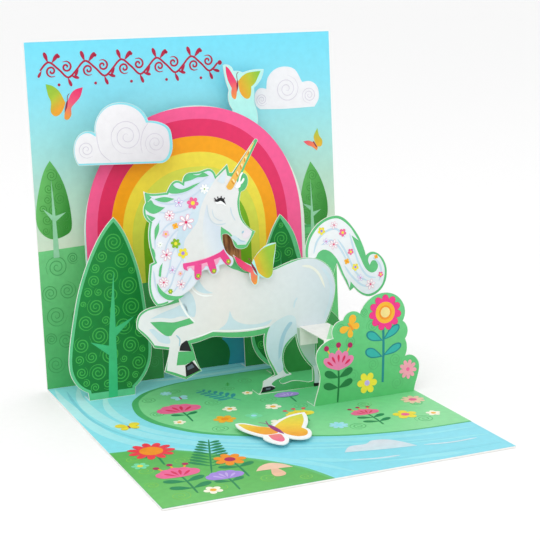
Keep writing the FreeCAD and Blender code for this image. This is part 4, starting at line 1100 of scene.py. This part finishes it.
stroke(vein_teal, 2.5, [(50.2, 27), (50, 18), (49.2, 5.4)], 0.95, taper=0.9)
for x, h, length, width, turn in (
        (50, 21.6, 8.6, 3.4, 0.62), (49.8, 21.4, 7.6, 3.6, 2.66), (49.6, 15.6, 8.8, 3.2, 0.42),
        (49.5, 15.3, 7.8, 3.8, 2.74)):
    dab(vein_teal, 3, leaf(x, h, length, width, turn))
    dab(lobe_teal, 4, leaf(*placed(0.9, 0, x, h, turn), length - 1.5, width - 0.9, turn))
dab(deep_rose, 3, blossom(51.2, 32, 6.9, 11, dip=0.24, turn=0.1))
dab(ink("hot_rose", "#f4348a"), 3.5, blossom(51.2, 32, 6.7, 11, dip=0.26, turn=0.1))
dab(amber, 4, round_spot(51.2, 32, 4.1))
dab(orange, 5, round_spot(51.2, 32, 2.7))
dab(ink("heart_cream", "#f5dc8c"), 6, round_spot(51.2, 32.1, 2, sides=20))
leaf_green = ink("leaf_green", "#14763a")
stroke(leaf_green, 2.5, [(30.8, 14), (30.8, 8), (30, 0.3)], 0.75, taper=0.8)
for x, h, length, width, turn in (
        (30.9, 9.6, 6.4, 2.7, 0.46), (30.8, 9.6, 6.2, 2.8, 2.72), (30.6, 5.7, 6.4, 2.6, 0.4),
        (30.5, 5.8, 6.2, 2.8, 2.9)):
    dab(leaf_green, 3, leaf(x, h, length, width, turn))
for i, turn in enumerate((0.66, 1.1, 1.56, 2.02, 2.46)):
    dab(bush_rose, 3 + 0.15 * i, leaf(31, 12.4, 7.7, 3.2, turn))
    dab(deep_rose, 5, leaf(*placed(3, 0, 31, 12.4, turn), 3, 0.9, turn))
for tip in ((26.2, 21.2), (31.2, 22), (36, 21.4)):
    stroke(amber, 2.6, [(31 + (tip[0] - 31) * 0.4, 16), tip], 0.5, taper=0.8)
    dab(plum, 4, round_spot(*tip, 1.05, sides=18))
open_flower(42.6, 6, 4.2, 6, yellow, pale_lilac, coat=4, turn=0.5, heart_share=0.26)
open_flower(60.2, 9, 3.8, 9, ink("shell_pink", "#f2a3b2"), rose, coat=4, turn=0.2, heart_share=0.2)
for length, width, turn in ((4.8, 3, 1.22), (4.5, 2.7, 3.4), (3.8, 2.5, 0.06), (4, 2.3, -1.6)):
    dab(amber, 4, leaf(36.3, 28.2, length, width, turn))
stroke(orange, 5, [(35.4, 29.8), (36.6, 28.3), (37.6, 26.8)], 0.7)
press("flower_bush_print", bed)
foot_print("flower_bush", meadow)

# Front butterfly: die-cut card with a broad white edge, lying over the lower panel on a foam pad
# of 1.5 mm. Amber and golden wings, a pink hind wing and a violet body.

dress(white_board, "front_butterfly")
landing = lying(1.5 + SHEET)
front_amber = ink("front_amber", "#f8e052", "#f8b42e", "#f79a34", blend=(landing, (-14, -77), (-7, -92)))
front_pink = ink("front_pink", "#f46a96", "#f58a78", blend=(landing, (-8, -99), (-7, -90)))
front_gold = ink("front_gold", "#dfe048", "#f9d63a", "#f7a928", blend=(landing, (9, -77), (0, -95)))
dab(line_white, 0, *trim(cut_lines("front_butterfly", landing), 0.1))
patch(front_amber, 1, [
    (-15, -76.4, 1), (-14.2, -83.6), (-11, -90), (-7.4, -91, 1), (-5.6, -90), (-5.9, -84.8), (-9.4, -81.4),
    (-12.8, -77.2)])
patch(front_pink, 1, [
    (-9.9, -91.4, 1), (-10.2, -96), (-8.6, -99.2), (-6.6, -98), (-5.5, -93), (-6, -91.6, 1)])
patch(front_gold, 1, [
    (-4.6, -84.4, 1), (-0.6, -80.4), (4.6, -77), (10.4, -75.6, 1), (7.8, -82.6), (3.8, -89, 1),
    (4.4, -92.6), (2.4, -96.6), (-0.6, -97), (-3, -94.4), (-4.2, -90)])
body_violet = ink("body_violet", "#9c2480")
patch(body_violet, 2, [
    (-5.6, -80.4, 1), (-4.3, -84), (-3.9, -88.6), (-4.4, -92.8, 1), (-5.9, -88.4), (-6.1, -84)])
stroke(body_violet, 2, [(-5.5, -81), (-6.4, -79), (-7.8, -77.8)], 0.4)
stroke(body_violet, 2, [(-5.4, -81), (-5, -78.8), (-4.6, -77.2)], 0.4)
press("front_butterfly_print", landing)

# Studio: a pale floor, white air and two soft round lamps. The camera stands at the front left
# and a little above, turned a little about its own line of sight as in the photograph.

bpy.ops.object.select_all(action="DESELECT")
bpy.ops.mesh.primitive_plane_add(size=16, location=(0, 0, -0.0001))
floor = bpy.context.object
floor.name = "studio_floor"
floor.data.materials.append(board("studio_white", "#fdfdfd", "#fbfbfb"))

world = bpy.data.worlds.new("studio_air")
world.use_nodes = True
air = world.node_tree.nodes["Background"]
air.inputs["Color"].default_value = (1, 1, 1, 1)
air.inputs["Strength"].default_value = 0.97
bpy.context.scene.world = world
for name, place, size, power in (
        ("key", (-0.55, -0.75, 0.95), 0.9, 3.0), ("fill", (0.8, -0.6, 0.6), 1.0, 0.6)):
    bpy.ops.object.light_add(type="AREA", location=place)
    lamp = bpy.context.object
    lamp.name = name + "_light"
    lamp.data.shape = "DISK"
    lamp.data.size = size
    lamp.data.energy = power
    lamp.rotation_euler = (Vector((0, 0, 0.05)) - Vector(place)).to_track_quat("-Z", "Y").to_euler()

bpy.ops.object.camera_add(location=(-0.19169, -0.442895, 0.16365))
camera = bpy.context.object
camera.name = "camera"
azimuth, tilt, roll = (math.radians(a) for a in (-23.674, 12.690, -0.812))
back = Vector((math.sin(azimuth) * math.cos(tilt), -math.cos(azimuth) * math.cos(tilt), math.sin(tilt)))
right = Vector((0, 0, 1)).cross(back).normalized()
upward = back.cross(right)
turned_right = right * math.cos(roll) + upward * math.sin(roll)
turned_up = upward * math.cos(roll) - right * math.sin(roll)
camera.rotation_euler = Matrix((turned_right, turned_up, back)).transposed().to_euler()
camera.data.lens = 92.76
camera.data.sensor_width = 36
bpy.context.scene.camera = camera
bpy.context.scene.view_settings.view_transform = "Standard"
